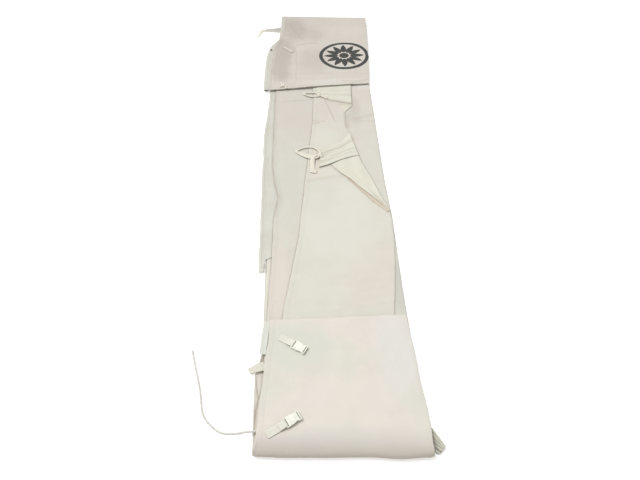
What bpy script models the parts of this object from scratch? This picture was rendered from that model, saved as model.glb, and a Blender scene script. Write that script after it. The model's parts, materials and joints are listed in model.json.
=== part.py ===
"""A long canvas cover bag, laid flat and folded: both ends turn over onto the middle.

Metres, +Z up. The origin is on the floor under the middle of the folded pile. +Y runs along
the bag towards its far end, and +X runs across it. Each ply of canvas is its own solid.
"""

import math

import bpy
import bmesh
from mathutils import Matrix, Vector

# Cloth pile
PLY = 0.0018            # thickness of one canvas ply
PITCH = 0.0026          # rise from one ply to the next in the pile
CLEAR = 0.0014          # gap between cloth that folds and cloth that stays
LINING_INSET = 0.004    # a lining's edge lies this far inside its outer ply

# Folded ends
FOLD_RADIUS = 0.020     # outer radius of the outer ply round a fold
INNER_FOLD_RADIUS = 0.0145
FOLD_STEPS = 14         # rows of cloth round a half turn
FLAP_INNER_TOP = 0.0208
FLAP_OUTER_TOP = 0.0234
BULGE_LENGTH = 0.11     # a flap sinks from the fold onto the pile over this length
BULGE_ROWS = 8
NEAR_FOLD = {"y": -1.3516, "slant": math.radians(-2.0), "inward": 1, "left": -0.284, "right": 0.290}
FAR_FOLD = {"y": 1.3506, "slant": math.radians(-5.0), "inward": -1, "left": -0.248, "right": 0.306}

# Side-release buckles for nominal 25 mm webbing
WEBBING_WIDTH = 0.0265
WEBBING_THICK = 0.0014
BUCKLE_WIDTH = 0.033
BUCKLE_THICK = 0.009
BASE_LENGTH = 0.019
BASE_WIDTH = 0.034
SLOT_WIDTH = 0.0276
SOCKET_LENGTH = 0.037
BUCKLE_WALL = 0.0018
FIT = 0.0004            # clearance between the plug and the socket
LOWER_BUCKLE = {
    "at": (-0.236, -1.302, 0.0386), "turn": math.radians(31.0), "dip": math.radians(5.1), "web": 0.0655,
}
UPPER_BUCKLE = {"at": (-0.203, -0.954, 0.0242), "turn": math.radians(-32.8), "dip": 0.0, "web": 0.0547}

# Cord and small pieces
CORD_RADIUS = 0.004
CORD_FLOOR = 0.0042
CORD_CASING_Z = 0.0168
CORD_TIP_RADIUS = 0.0048
CORD_TIP_LENGTH = 0.012
EYELET_RADIUS = 0.0062
EYELET_WIRE = 0.0018
EYELET_PLACE = (-0.3040, 0.989)
ROLLED_HEM_LOW = 0.0100
ROLLED_HEM_HIGH = 0.0245
STUB_LENGTH = 0.082
STUB_WIDTH = 0.022
HEM_KNOT_LENGTH = 0.044
HEM_KNOT_THICK = 0.006
EMBLEM_CUT_X = 0.2855       # the emblem ends here, where the cloth turns down
EMBLEM_RADIUS = 0.152
EMBLEM_CENTRE = (0.139, 0.907)
EMBLEM_THICK = 0.0008
ON_FLAP = FLAP_OUTER_TOP + 0.0008

CANVAS = (0.86, 0.84, 0.79)
LINING = (0.84, 0.82, 0.76)
TAPE = (0.90, 0.86, 0.76)
PLASTIC = (0.88, 0.87, 0.80)
CORD_COLOUR = (0.84, 0.82, 0.76)
PRINT = (0.05, 0.05, 0.05)
BRASS = (0.30, 0.22, 0.14)

# Edges of the plies, near end first, as (x, y)
BACK_LEFT = [
    (-0.289, -1.20), (-0.290, -1.09), (-0.268, -1.00), (-0.272, -0.65), (-0.268, 0.60), (-0.240, 1.15),
]
BACK_RIGHT = [
    (0.276, -0.97), (0.274, -0.744), (0.278, -0.373), (0.270, -0.147), (0.268, 0.60), (0.290, 1.08),
]
FACING_LEFT = [
    (-0.300, -0.634), (-0.308, -0.255), (-0.315, 0.204), (-0.302, 0.413), (-0.298, 0.588), (-0.288, 1.00),
]
FACING_RIGHT = [(-0.200, -0.655), (-0.200, 1.00)]
LEFT_FRONT_LEFT = [
    (-0.262, -1.330), (-0.256, -0.854), (-0.248, -0.648), (-0.245, -0.357), (-0.235, -0.248),
    (-0.263, -0.027), (-0.266, 0.470), (-0.264, 0.60), (-0.240, 1.15), (-0.236, 1.33),
]
FRONT_LEFT = [
    (-0.215, -1.320), (-0.198, -0.871), (-0.178, -0.748), (-0.159, -0.628), (-0.134, -0.472),
    (-0.111, -0.205), (-0.084, 0.071), (-0.060, 0.308), (-0.053, 0.521), (-0.050, 1.28),
]
FRONT_RIGHT = [
    (0.276, -1.320), (0.270, -0.970), (0.270, -0.744), (0.272, -0.353), (0.240, -0.253),
    (0.209, -0.142), (0.168, -0.016), (0.158, 0.043), (0.128, 0.198), (0.110, 0.232),
    (0.112, 0.366), (0.120, 0.385), (0.157, 0.430), (0.157, 0.60), (0.150, 1.28),
]
SIDE_SPLIT = 0.004      # the two side panels meet under the front panel at this x

# Flap edges, from the fold to the hem
NEAR_FLAP_LEFT = [(-0.272, -1.281), (-0.267, -1.184), (-0.255, -1.016), (-0.246, -0.878)]
NEAR_FLAP_RIGHT = [(0.287, -1.283), (0.278, -1.133), (0.274, -0.976), (0.267, -0.872)]
FAR_FLAP_LEFT = [(-0.250, 1.255), (-0.259, 1.107), (-0.287, 1.014), (-0.300, 0.914), (-0.303, 0.577)]
FAR_FLAP_RIGHT = [(0.297, 1.079), (0.282, 0.852), (0.267, 0.618)]
NEAR_INNER_LEFT = [(-0.268, -1.281), (-0.263, -1.184), (-0.250, -1.030), (-0.242, -0.882)]

parts = None
cutters = None


def clear_scene():
    for obj in list(bpy.data.objects):
        bpy.data.objects.remove(obj)


def new_collection(name):
    collection = bpy.data.collections.new(name)
    bpy.context.scene.collection.children.link(collection)
    return collection


def new_material(name, colour, roughness, metallic=0.0):
    material = bpy.data.materials.new(name)
    material.use_nodes = True
    shader = material.node_tree.nodes["Principled BSDF"]
    shader.inputs["Base Color"].default_value = (*colour, 1.0)
    shader.inputs["Roughness"].default_value = roughness
    shader.inputs["Metallic"].default_value = metallic
    return material


def put(obj, material, parent=None):
    """Gives a part its material and its place in the parts collection."""
    obj.data.materials.append(material)
    parts.objects.link(obj)
    obj.parent = parent
    return obj


def mesh_object(name, bm):
    mesh = bpy.data.meshes.new(name)
    bm.to_mesh(mesh)
    bm.free()
    return bpy.data.objects.new(name, mesh)


def sheet(name, rows, thickness, material, parent=None):
    """A ply whose upper side passes through rows of (left, right) points."""
    bm = bmesh.new()
    bmesh.ops.create_grid(bm, x_segments=1, y_segments=len(rows) - 1, size=1)
    for vert in bm.verts:
        row = rows[round((vert.co.y + 1) / 2 * (len(rows) - 1))]
        vert.co = row[0] if vert.co.x < 0 else row[1]
    bm.normal_update()
    obj = mesh_object(name, bm)
    obj.data.shade_smooth()
    solid = obj.modifiers.new("ply", "SOLIDIFY")
    solid.thickness = thickness
    solid.offset = -1
    return put(obj, material, parent)


def outline_curve(name, points, low, high):
    """A flat outline as a filled curve, thick from low to high."""
    curve = bpy.data.curves.new(name, "CURVE")
    curve.dimensions = "2D"
    curve.fill_mode = "BOTH"
    curve.extrude = (high - low) / 2
    spline = curve.splines.new("POLY")
    spline.points.add(len(points) - 1)
    for target, (x, y) in zip(spline.points, points):
        target.co = (x, y, 0, 1)
    spline.use_cyclic_u = True
    obj = bpy.data.objects.new(name, curve)
    obj.location.z = (low + high) / 2
    return obj


def flat_ply(name, points, low, material, thickness=PLY, parent=None):
    return put(outline_curve(name, points, low, low + thickness), material, parent)


def solid_outline(name, points, low, high):
    """The same solid as a welded mesh, ready for Bevel or Boolean."""
    curve = outline_curve(name + "_outline", points, low, high)
    parts.objects.link(curve)
    bpy.context.view_layer.update()
    evaluated = curve.evaluated_get(bpy.context.evaluated_depsgraph_get())
    mesh = bpy.data.meshes.new_from_object(evaluated)
    mesh.name = name
    bm = bmesh.new()
    bm.from_mesh(mesh)
    bmesh.ops.remove_doubles(bm, verts=bm.verts, dist=0.00001)
    bm.to_mesh(mesh)
    bm.free()
    mesh.transform(curve.matrix_world)
    bpy.data.objects.remove(curve)
    return bpy.data.objects.new(name, mesh)


def box_mesh(name, low, high):
    """A box between two corners."""
    low, high = Vector(low), Vector(high)
    bm = bmesh.new()
    place = Matrix.Translation((low + high) / 2) @ Matrix.Diagonal((*(high - low), 1))
    bmesh.ops.create_cube(bm, size=1, matrix=place)
    return mesh_object(name, bm)


def soften(obj, width):
    bevel = obj.modifiers.new("soft_edges", "BEVEL")
    bevel.width = width
    bevel.segments = 1
    bevel.limit_method = "ANGLE"
    bevel.angle_limit = math.radians(50)


def cut(obj, tool):
    """Cuts tool out of obj. Both sit under the same parent."""
    tool.parent = obj.parent
    tool.hide_render = True
    tool.display_type = "WIRE"
    cutters.objects.link(tool)
    boolean = obj.modifiers.new(tool.name, "BOOLEAN")
    boolean.operation = "DIFFERENCE"
    boolean.solver = "EXACT"
    boolean.object = tool


def join_mesh(obj, tool):
    """Unites tool with obj. Both sit under the same parent."""
    cut(obj, tool)
    obj.modifiers[-1].operation = "UNION"


def fold_point(fold, across, inward, z=0.0):
    """A point given by its place along a fold's line and its distance inward from it."""
    cos, sin = math.cos(fold["slant"]), math.sin(fold["slant"])
    side = fold["inward"]
    x = across * cos - side * inward * sin
    y = fold["y"] + across * sin + side * inward * cos
    return Vector((x, y, z))


def fold_distance(fold, point):
    """How far inward of a fold's line a point lies."""
    cos, sin = math.cos(fold["slant"]), math.sin(fold["slant"])
    return fold["inward"] * ((point.y - fold["y"]) * cos - point.x * sin)


def smooth_step(t):
    t = min(max(t, 0.0), 1.0)
    return t * t * (3 - 2 * t)


def walk(points, share):
    """The point at a share of a polyline's length."""
    lengths = [(b - a).length for a, b in zip(points, points[1:])]
    left = share * sum(lengths)
    for start, end, length in zip(points, points[1:], lengths):
        if left <= length:
            return start.lerp(end, left / length)
        left -= length
    return points[-1].copy()


def shifted(points, dx):
    return [(x + dx, y) for x, y in points]


def full_length_ply(name, left, right, level, inset, material):
    """A ply that runs from one fold to the other."""
    near = [fold_point(NEAR_FOLD, NEAR_FOLD[side], CLEAR) for side in ("left", "right")]
    far = [fold_point(FAR_FOLD, FAR_FOLD[side], CLEAR) for side in ("left", "right")]
    left_edge = shifted([near[0].xy[:], *left, far[0].xy[:]], inset)
    right_edge = shifted([near[1].xy[:], *right, far[1].xy[:]], -inset)
    return flat_ply(name, left_edge + right_edge[::-1], level * PITCH, material)


def fold_wrap(name, fold, radius, inset, material):
    """The cloth round one folded end: a half turn from the floor side to the flap side."""
    rows = []
    for step in range(FOLD_STEPS + 1):
        angle = math.pi * step / FOLD_STEPS
        inward = -radius * math.sin(angle)
        z = FOLD_RADIUS - radius * math.cos(angle)
        left = fold_point(fold, fold["left"] + inset, inward, z)
        right = fold_point(fold, fold["right"] - inset, inward, z)
        rows.append((left, right) if fold["inward"] > 0 else (right, left))
    return sheet(name, rows, PLY, material)


def flap_ply(name, fold, left, right, top, radius, inset, material):
    """One ply of a folded-over end. It leaves the fold high and sinks onto the pile."""
    start_left = fold_point(fold, fold["left"], CLEAR)
    start_right = fold_point(fold, fold["right"], CLEAR)
    left_edge = [start_left] + [Vector((x, y, 0)) for x, y in left]
    right_edge = [start_right] + [Vector((x, y, 0)) for x, y in right]
    length = abs(left[-1][1] - fold["y"])
    shares = [BULGE_LENGTH / length * step / BULGE_ROWS for step in range(BULGE_ROWS + 1)]
    shares += [shares[-1] + (1 - shares[-1]) * step / 6 for step in range(1, 7)]
    rows = []
    for share in shares:
        row = [walk(left_edge, share), walk(right_edge, share)]
        for point, sign in zip(row, (1, -1)):
            point.x += sign * inset
            sunk = smooth_step(fold_distance(fold, point) / BULGE_LENGTH)
            point.z = (FOLD_RADIUS + radius) * (1 - sunk) + top * sunk
        rows.append(row if fold["inward"] > 0 else row[::-1])
    return sheet(name, rows, PLY, material)


def middle_plies(canvas, lining):
    full_length_ply("back_panel", BACK_LEFT, BACK_RIGHT, 0, 0.0, canvas)
    full_length_ply("back_lining", BACK_LEFT, BACK_RIGHT, 1, LINING_INSET, lining)
    flat_ply("left_facing", FACING_LEFT + FACING_RIGHT[::-1], 2 * PITCH, canvas)
    roll = box_mesh("left_facing_rolled_end", (-0.300, -0.666, 0.0054), (-0.264, -0.658, 0.0114))
    soften(roll, 0.0018)
    put(roll, canvas)
    left_right_edge = [(-SIDE_SPLIT, 1.32), (-SIDE_SPLIT, -1.335)]
    flat_ply("left_front_panel", LEFT_FRONT_LEFT + left_right_edge, 3 * PITCH, canvas)
    side_right = shifted(BACK_RIGHT, -0.002)
    side_ends = [(SIDE_SPLIT, -1.335), (0.280, -1.345), *side_right, (0.298, 1.31), (SIDE_SPLIT, 1.32)]
    flat_ply("right_side_panel", side_ends, 3 * PITCH, canvas)
    flat_ply("front_panel", FRONT_LEFT + FRONT_RIGHT[::-1], 4 * PITCH, canvas)
    gather = [
        (0.2945, -1.282), (0.309, -1.298), (0.318, -1.317),
        (0.331, -1.351), (0.312, -1.368), (0.2945, -1.368),
    ]
    bunch = solid_outline("gathered_end", gather, 0.001, 0.026)
    soften(bunch, 0.004)
    put(bunch, canvas)


def folded_ends(canvas, lining):
    for name, fold in (("near", NEAR_FOLD), ("far", FAR_FOLD)):
        fold_wrap(name + "_fold_outer", fold, FOLD_RADIUS, 0.0, canvas)
        fold_wrap(name + "_fold_lining", fold, INNER_FOLD_RADIUS, LINING_INSET, lining)
    flap_ply(
        "near_flap_outer", NEAR_FOLD, NEAR_FLAP_LEFT, NEAR_FLAP_RIGHT,
        FLAP_OUTER_TOP, FOLD_RADIUS, 0.0, canvas,
    )
    flap_ply(
        "near_flap_lining", NEAR_FOLD, NEAR_INNER_LEFT, NEAR_FLAP_RIGHT,
        FLAP_INNER_TOP, INNER_FOLD_RADIUS, LINING_INSET, lining,
    )
    flap_ply(
        "far_flap_outer", FAR_FOLD, FAR_FLAP_LEFT, FAR_FLAP_RIGHT,
        FLAP_OUTER_TOP, FOLD_RADIUS, 0.0, canvas,
    )
    flap_ply(
        "far_flap_lining", FAR_FOLD, FAR_FLAP_LEFT, FAR_FLAP_RIGHT,
        FLAP_INNER_TOP, INNER_FOLD_RADIUS, LINING_INSET, lining,
    )


def flap_trim(canvas, tape, print_black, brass):
    binding = [
        (-0.2475, -0.884), (-0.2560, -0.977), (-0.2600, -1.012),
        (-0.276, -1.008), (-0.274, -0.957), (-0.266, -0.883),
    ]
    flat_ply("side_binding_tape", binding, FLAP_INNER_TOP - PLY, tape)
    hem_left = [
        (-0.277, 1.098), (-0.289, 1.083), (-0.312, 1.035), (-0.328, 0.960), (-0.334, 0.880),
        (-0.3365, 0.790), (-0.338, 0.640), (-0.337, 0.590), (-0.331, 0.574),
    ]
    hem_right = [(-0.306, 0.574), (-0.3045, 0.600), (-0.3030, 0.914), (-0.2905, 1.014), (-0.270, 1.098)]
    hem = solid_outline("far_flap_rolled_hem", hem_left + hem_right, ROLLED_HEM_LOW, ROLLED_HEM_HIGH)
    soften(hem, 0.0012)
    put(hem, canvas)
    half = STUB_WIDTH / 2
    stub = box_mesh("far_flap_webbing_stub", (0, -half, 0), (STUB_LENGTH, half, WEBBING_THICK))
    stub.location = (-0.226, 1.019, ON_FLAP)
    stub.rotation_euler.z = math.radians(-47)
    put(stub, tape)
    knot = box_mesh("far_flap_hem_knot", (0, -half, 0), (HEM_KNOT_LENGTH, half, HEM_KNOT_THICK))
    soften(knot, 0.002)
    knot.location = (-0.227, 0.612, ON_FLAP)
    knot.rotation_euler.z = math.radians(-50)
    put(knot, tape)
    reach = math.acos((EMBLEM_CUT_X - EMBLEM_CENTRE[0]) / EMBLEM_RADIUS)
    steps = 40
    angles = [reach + (2 * math.pi - 2 * reach) * step / steps for step in range(steps + 1)]
    disc = [
        (EMBLEM_CENTRE[0] + EMBLEM_RADIUS * math.cos(a), EMBLEM_CENTRE[1] + EMBLEM_RADIUS * math.sin(a))
        for a in angles
    ]
    flat_ply("emblem", disc, ON_FLAP, print_black, thickness=EMBLEM_THICK)
    bpy.ops.mesh.primitive_torus_add(
        major_radius=EYELET_RADIUS, minor_radius=EYELET_WIRE, major_segments=20, minor_segments=8,
        location=(*EYELET_PLACE, ROLLED_HEM_HIGH + EYELET_WIRE + 0.0005),
    )
    eyelet = bpy.context.object
    eyelet.name = "band_eyelet"
    eyelet.users_collection[0].objects.unlink(eyelet)
    eyelet.data.shade_smooth()
    put(eyelet, brass)


def ties(canvas, tape):
    upper_tab = [
        (-0.030, 0.64), (-0.050, 0.545), (-0.014, 0.512),
        (0.042, 0.478), (0.097, 0.459), (0.157, 0.438), (0.167, 0.64),
    ]
    flat_ply("upper_tie_tab", upper_tab, 5 * PITCH, canvas)
    upper_loop = [(-0.008, 0.538), (-0.050, 0.552), (-0.111, 0.546), (-0.084, 0.507), (-0.017, 0.509)]
    flat_ply("upper_tie_tape", upper_loop, 6 * PITCH, tape, thickness=0.003)
    corner = [
        (0.018, -0.036), (0.061, -0.095), (0.101, -0.138), (0.148, -0.199),
        (0.198, -0.258), (0.270, -0.352), (0.240, -0.253), (0.209, -0.142),
        (0.168, -0.016), (0.158, 0.043), (0.130, 0.170), (0.060, 0.060),
    ]
    flat_ply("turned_back_corner", corner, 5 * PITCH, canvas)
    lower_tab = [
        (0.128, 0.196), (0.073, 0.121), (-0.019, 0.078), (-0.045, 0.010),
        (-0.043, -0.062), (0.016, -0.039), (0.126, 0.014), (0.163, 0.016),
    ]
    flat_ply("lower_tie_tab", lower_tab, 6 * PITCH, canvas)
    loop = [(-0.020, 0.072), (-0.089, 0.091), (-0.149, 0.056), (-0.082, -0.004), (-0.036, 0.020)]
    flat_ply("lower_tie_loop", loop, 7 * PITCH, tape, thickness=0.004)
    tail = [(-0.034, 0.014), (-0.070, -0.004), (-0.084, -0.086), (-0.055, -0.101), (-0.042, -0.040)]
    flat_ply("lower_tie_tail", tail, 7 * PITCH, tape, thickness=0.003)
    side_tie = [
        (-0.256, 1.301), (-0.315, 1.291), (-0.367, 1.279), (-0.378, 1.266), (-0.392, 1.220), (-0.407, 1.168),
        (-0.398, 1.160), (-0.379, 1.205), (-0.366, 1.249), (-0.3135, 1.239), (-0.256, 1.240),
    ]
    flat_ply("side_tie_tape", side_tie, 0.002, tape)
    side_loop = [
        (-0.262, -1.042), (-0.283, -1.049), (-0.308, -1.059), (-0.317, -1.073),
        (-0.309, -1.088), (-0.295, -1.085), (-0.262, -1.086),
    ]
    flat_ply("side_loop_tape", side_loop, 4 * PITCH, tape, thickness=0.003)


def drawcord(cord_white):
    """The cord leaves its casing at the near end, drops to the floor and curves away."""
    y = -1.2825
    path = [
        (-0.190, y, CORD_CASING_Z), (-0.288, y, CORD_CASING_Z),
        (-0.310, y, 0.0130), (-0.334, -1.284, 0.0065),
        (-0.360, -1.284, CORD_FLOOR), (-0.388, -1.280, CORD_FLOOR), (-0.407, -1.270, CORD_FLOOR),
        (-0.423, -1.257, CORD_FLOOR), (-0.441, -1.239, CORD_FLOOR), (-0.454, -1.218, CORD_FLOOR),
        (-0.462, -1.195, CORD_FLOOR), (-0.467, -1.170, CORD_FLOOR), (-0.480, -1.117, CORD_FLOOR),
        (-0.504, -1.043, CORD_FLOOR), (-0.517, -1.000, CORD_FLOOR),
    ]
    curve = bpy.data.curves.new("drawcord", "CURVE")
    curve.dimensions = "3D"
    curve.bevel_depth = CORD_RADIUS
    curve.bevel_resolution = 2
    curve.use_fill_caps = True
    spline = curve.splines.new("POLY")
    spline.points.add(len(path) - 1)
    for target, point in zip(spline.points, path):
        target.co = (*point, 1)
    put(bpy.data.objects.new("drawcord", curve), cord_white)
    end, before = Vector(path[-1]), Vector(path[-2])
    along = (end - before).normalized()
    bm = bmesh.new()
    bmesh.ops.create_cone(
        bm, cap_ends=True, segments=16,
        radius1=CORD_TIP_RADIUS, radius2=CORD_TIP_RADIUS * 0.8, depth=CORD_TIP_LENGTH,
    )
    tip = mesh_object("drawcord_tip", bm)
    rise = Vector((0, 0, CORD_TIP_RADIUS - CORD_FLOOR))
    tip.location = end + along * (CORD_TIP_LENGTH / 2 + 0.0004) + rise
    tip.rotation_euler = along.to_track_quat("Z", "X").to_euler()
    tip.data.shade_smooth()
    put(tip, cord_white)


def strap_rows(length):
    """A webbing stub, sewn at its start, that loops up round the buckle's bar."""
    bar_x, bar_z, turn = length + 0.0022, 0.0045, 0.0033
    half = WEBBING_WIDTH / 2
    path = [(0.0, WEBBING_THICK), (length * 0.5, WEBBING_THICK), (bar_x - 0.004, WEBBING_THICK)]
    for step in range(7):
        angle = math.radians(-90 + 30 * step)
        path.append((bar_x + turn * math.cos(angle), bar_z + turn * math.sin(angle)))
    path += [(bar_x - 0.006, 0.0066), (bar_x - 0.018, 0.0046)]
    return [(Vector((x, half, z)), Vector((x, -half, z))) for x, z in path]


def buckle(prefix, place, tape, plastic):
    """A side-release buckle on a sewn webbing stub. X runs along the strap in its own frame."""
    frame = bpy.data.objects.new(prefix + "_frame", None)
    parts.objects.link(frame)
    frame.location = place["at"]
    frame.rotation_euler = (0, place["dip"], place["turn"])
    start = place["web"]
    half = BUCKLE_WIDTH / 2
    tongue_z = (0.0030, 0.0060)

    sheet(prefix + "_webbing", strap_rows(start), WEBBING_THICK, tape, frame)

    wide = BASE_WIDTH / 2
    base_end = start + BASE_LENGTH
    base_outline = [
        (start, -wide + 0.0010), (start + 0.004, -wide), (base_end, -wide + 0.0005),
        (base_end, wide - 0.0005), (start + 0.004, wide), (start, wide - 0.0010),
    ]
    base = solid_outline(prefix + "_plug_base", base_outline, 0.0005, 0.0085)
    put(base, plastic, frame)
    below, above = -0.002, 0.012
    bar_start, bar_end = start - 0.002, start + 0.0041
    reach = SLOT_WIDTH / 2
    for name, low, high in (
        ("_plug_slot", (start + 0.0040, -reach, below), (start + 0.0090, reach, above)),
        ("_bar_top", (bar_start, -reach, 0.0058), (bar_end, reach, above)),
        ("_bar_bottom", (bar_start, -reach, below), (bar_end, reach, 0.0032)),
    ):
        cutter = box_mesh(prefix + name, low, high)
        cut(base, cutter)
    tongue = box_mesh(
        prefix + "_tongue",
        (base_end - 0.002, -0.0032, tongue_z[0]),
        (base_end + 0.020, 0.0032, tongue_z[1]),
    )
    join_mesh(base, tongue)

    x = base_end + FIT
    end = x + SOCKET_LENGTH - FIT
    side = [
        (x, 0.0162), (x + 0.005, 0.0168), (x + 0.010, 0.0162), (x + 0.014, 0.0146), (x + 0.019, 0.0136),
        (x + 0.024, 0.0142), (x + 0.029, 0.0160), (end - 0.003, half), (end, half - 0.002),
    ]
    outline = [(px, -py) for px, py in side] + side[::-1]
    socket = solid_outline(prefix + "_socket", outline, 0.0, BUCKLE_THICK)
    put(socket, plastic, frame)
    floor, roof = BUCKLE_WALL, BUCKLE_THICK - BUCKLE_WALL
    for name, low, high in (
        ("_cavity", (x - 0.002, -0.0126, floor), (x + 0.0275, 0.0126, roof)),
        ("_windows", (x + 0.0080, -0.02, floor), (x + 0.0230, 0.02, roof)),
        ("_socket_slot", (end - 0.0068, -reach, below), (end - 0.0034, reach, above)),
    ):
        cutter = box_mesh(prefix + name, low, high)
        cut(socket, cutter)

    for name, sign in (("_left_arm", 1), ("_right_arm", -1)):
        root = base_end + FIT
        arm = [
            (root, 0.0090), (root + 0.0120, 0.0088), (root + 0.0205, 0.0092),
            (root + 0.0225, 0.0105), (root + 0.0215, 0.0122), (root + 0.0135, 0.0148),
            (root + 0.0105, 0.0148), (root + 0.0095, 0.0120), (root, 0.0120),
        ]
        mirrored = [(px, sign * py) for px, py in arm]
        blade = solid_outline(prefix + name, mirrored, 0.0024, 0.0066)
        put(blade, plastic, frame)


def build():
    global parts, cutters
    clear_scene()
    parts = new_collection("folded_cover_bag")
    cutters = new_collection("cutters")
    canvas = new_material("canvas", CANVAS, 0.9)
    lining = new_material("lining", LINING, 0.9)
    tape = new_material("cotton_tape", TAPE, 0.9)
    plastic = new_material("ivory_plastic", PLASTIC, 0.4)
    cord_white = new_material("cord", CORD_COLOUR, 0.85)
    print_black = new_material("emblem_print", PRINT, 0.8)
    brass = new_material("aged_brass", BRASS, 0.45, metallic=1.0)
    middle_plies(canvas, lining)
    folded_ends(canvas, lining)
    flap_trim(canvas, tape, print_black, brass)
    ties(canvas, tape)
    drawcord(cord_white)
    buckle("lower_buckle", LOWER_BUCKLE, tape, plastic)
    buckle("upper_buckle", UPPER_BUCKLE, tape, plastic)


build()
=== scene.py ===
"""Looks for the folded canvas cover bag: cloth, tape, cord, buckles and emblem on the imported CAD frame.

Metres, +Z up, in the CAD's own frame. +Y runs along the bag, from the near fold to the far fold.
"""

import json
import math

import bmesh
import bpy
import numpy as np
from mathutils import Matrix, Vector


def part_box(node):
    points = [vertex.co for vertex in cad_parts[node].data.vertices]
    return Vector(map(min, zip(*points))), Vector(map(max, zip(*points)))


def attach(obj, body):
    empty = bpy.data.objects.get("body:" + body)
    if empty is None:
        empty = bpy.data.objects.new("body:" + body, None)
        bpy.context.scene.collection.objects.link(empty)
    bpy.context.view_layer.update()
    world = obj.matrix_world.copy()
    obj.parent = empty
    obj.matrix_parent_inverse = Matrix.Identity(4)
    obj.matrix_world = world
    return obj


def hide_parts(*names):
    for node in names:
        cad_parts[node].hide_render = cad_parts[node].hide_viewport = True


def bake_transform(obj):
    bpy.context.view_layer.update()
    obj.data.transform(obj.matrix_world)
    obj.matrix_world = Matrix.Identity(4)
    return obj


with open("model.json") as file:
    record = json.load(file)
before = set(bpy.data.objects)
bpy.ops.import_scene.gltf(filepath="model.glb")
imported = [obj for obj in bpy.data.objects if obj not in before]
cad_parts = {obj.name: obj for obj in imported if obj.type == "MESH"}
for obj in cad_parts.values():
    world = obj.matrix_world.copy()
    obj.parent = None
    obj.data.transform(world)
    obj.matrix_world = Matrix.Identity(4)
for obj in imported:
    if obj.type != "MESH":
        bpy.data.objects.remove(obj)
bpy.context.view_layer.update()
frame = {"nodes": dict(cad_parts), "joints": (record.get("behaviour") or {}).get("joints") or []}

# Cloth
CLOTH = 0.0009          # thickness of the canvas
STEP = 0.0055           # size of a cloth grid's cells
HEM_RISE = 0.0011       # a hem stands this much above its cloth
HEM_WIDTH = 0.016
STITCH_LENGTH = 0.0024
STITCH_PITCH = 0.0036
STITCH_RADIUS = 0.00028
STITCH_LIFT = 0.0002
STITCH_INSETS = (HEM_WIDTH - 0.003, 0.0022)     # the rows of stitches, from a hem's edge

# Folded ends, as the CAD places them
FOLD_RADIUS = 0.020
LINING_RADIUS = 0.0145
SINK_LENGTH = 0.11      # a flap sinks from its fold onto the pile over this length
NEAR = {"y": -1.3516, "slant": math.radians(-2.0), "inward": 1, "left": -0.284, "right": 0.290}
FAR = {"y": 1.3506, "slant": math.radians(-5.0), "inward": -1, "left": -0.248, "right": 0.306}


def mm(*points):
    """Points given in millimetres, as an array in metres."""
    return np.array(points) / 1000


def raised(level, *points):
    """Points in millimetres whose heights count from a level in metres."""
    return mm(*points) + (0, 0, level)


# Edges of the plies as (x, y), near end first
BACK_LEFT = mm(
    (-284, -1350), (-289, -1200), (-290, -1090), (-268, -1000), (-272, -650), (-268, 600), (-240, 1150),
    (-248, 1370),
)
BACK_RIGHT = mm(
    (290, -1360), (276, -970), (274, -744), (278, -373), (270, -147), (268, 600), (290, 1080), (304, 1320),
)
FACING_LEFT = mm((-300, -634), (-308, -255), (-315, 204), (-302, 413), (-298, 588), (-288, 1000))
LEFT_FRONT_LEFT = mm(
    (-262, -1330), (-256, -854), (-248, -648), (-245, -357), (-231, -264), (-227, -246), (-245, -165),
    (-263, -27), (-264, 238), (-266, 470), (-264, 600), (-240, 1150), (-236, 1330),
)
FRONT_LEFT = mm(
    (-215, -1320), (-198, -871), (-178, -748), (-159, -628), (-134, -472), (-111, -205), (-84, 71),
    (-60, 308), (-53, 521), (-50, 1280),
)
FRONT_RIGHT = mm(
    (222, -1320), (223, -900), (227, -850), (240.4, -763), (256, -641), (264.5, -564.5), (274.5, -470),
    (276.5, -400), (272, -353), (240, -253), (209, -142), (168, -16), (158, 43), (128, 198), (110, 232),
    (111, 360), (120, 383), (157, 428), (158, 445), (157, 600), (150, 1280),
)
NEAR_FLAP_LEFT = mm((-269.5, -1281), (-264, -1184), (-251, -1016), (-240.5, -878))
NEAR_FLAP_RIGHT = mm((290.5, -1283), (280.5, -1133), (274, -976), (267, -872))
NEAR_LINING_LEFT = mm((-266, -1281), (-260, -1184), (-247, -1030), (-237, -882))
FAR_FLAP_LEFT = mm((-250, 1255), (-259, 1107), (-287, 1014), (-300, 914), (-303, 577))
FAR_FLAP_RIGHT = mm((297, 1079), (282, 852), (267, 618))

# Colours, as linear light
COOL_CANVAS = (0.680, 0.668, 0.590)
FAR_CANVAS = (0.650, 0.598, 0.540)
SHADED_CANVAS = (0.500, 0.452, 0.405)
CREAM_TAPE = (0.760, 0.725, 0.620)
CREAM_CLOTH = (0.710, 0.685, 0.560)
IVORY = (0.790, 0.790, 0.710)
CORD_WHITE = (0.700, 0.690, 0.640)
CHARCOAL = (0.040, 0.043, 0.040)
BRASS = (0.130, 0.085, 0.055)
# Painted shade: the brown that the shade attribute mixes the cloth towards
PAINTED_SHADE_BROWN = (0.330, 0.270, 0.215)


def top_of(node):
    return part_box(node)[1].z


# ---------------------------------------------------------------- shape helpers

def smooth(t):
    t = np.clip(t, 0.0, 1.0)
    return t * t * (3 - 2 * t)


def bell(distance, width):
    return np.exp(-((distance / width) ** 2))


def unit(vectors):
    return vectors / np.linalg.norm(vectors, axis=-1, keepdims=True)


def run_along(path):
    """The length from a path's start to each of its points."""
    return np.concatenate([[0], np.cumsum(np.linalg.norm(np.diff(path, axis=0), axis=1))])


def uv_grid(across, along):
    return np.stack(np.broadcast_arrays(across[None, :], along[:, None]), axis=-1)


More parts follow.
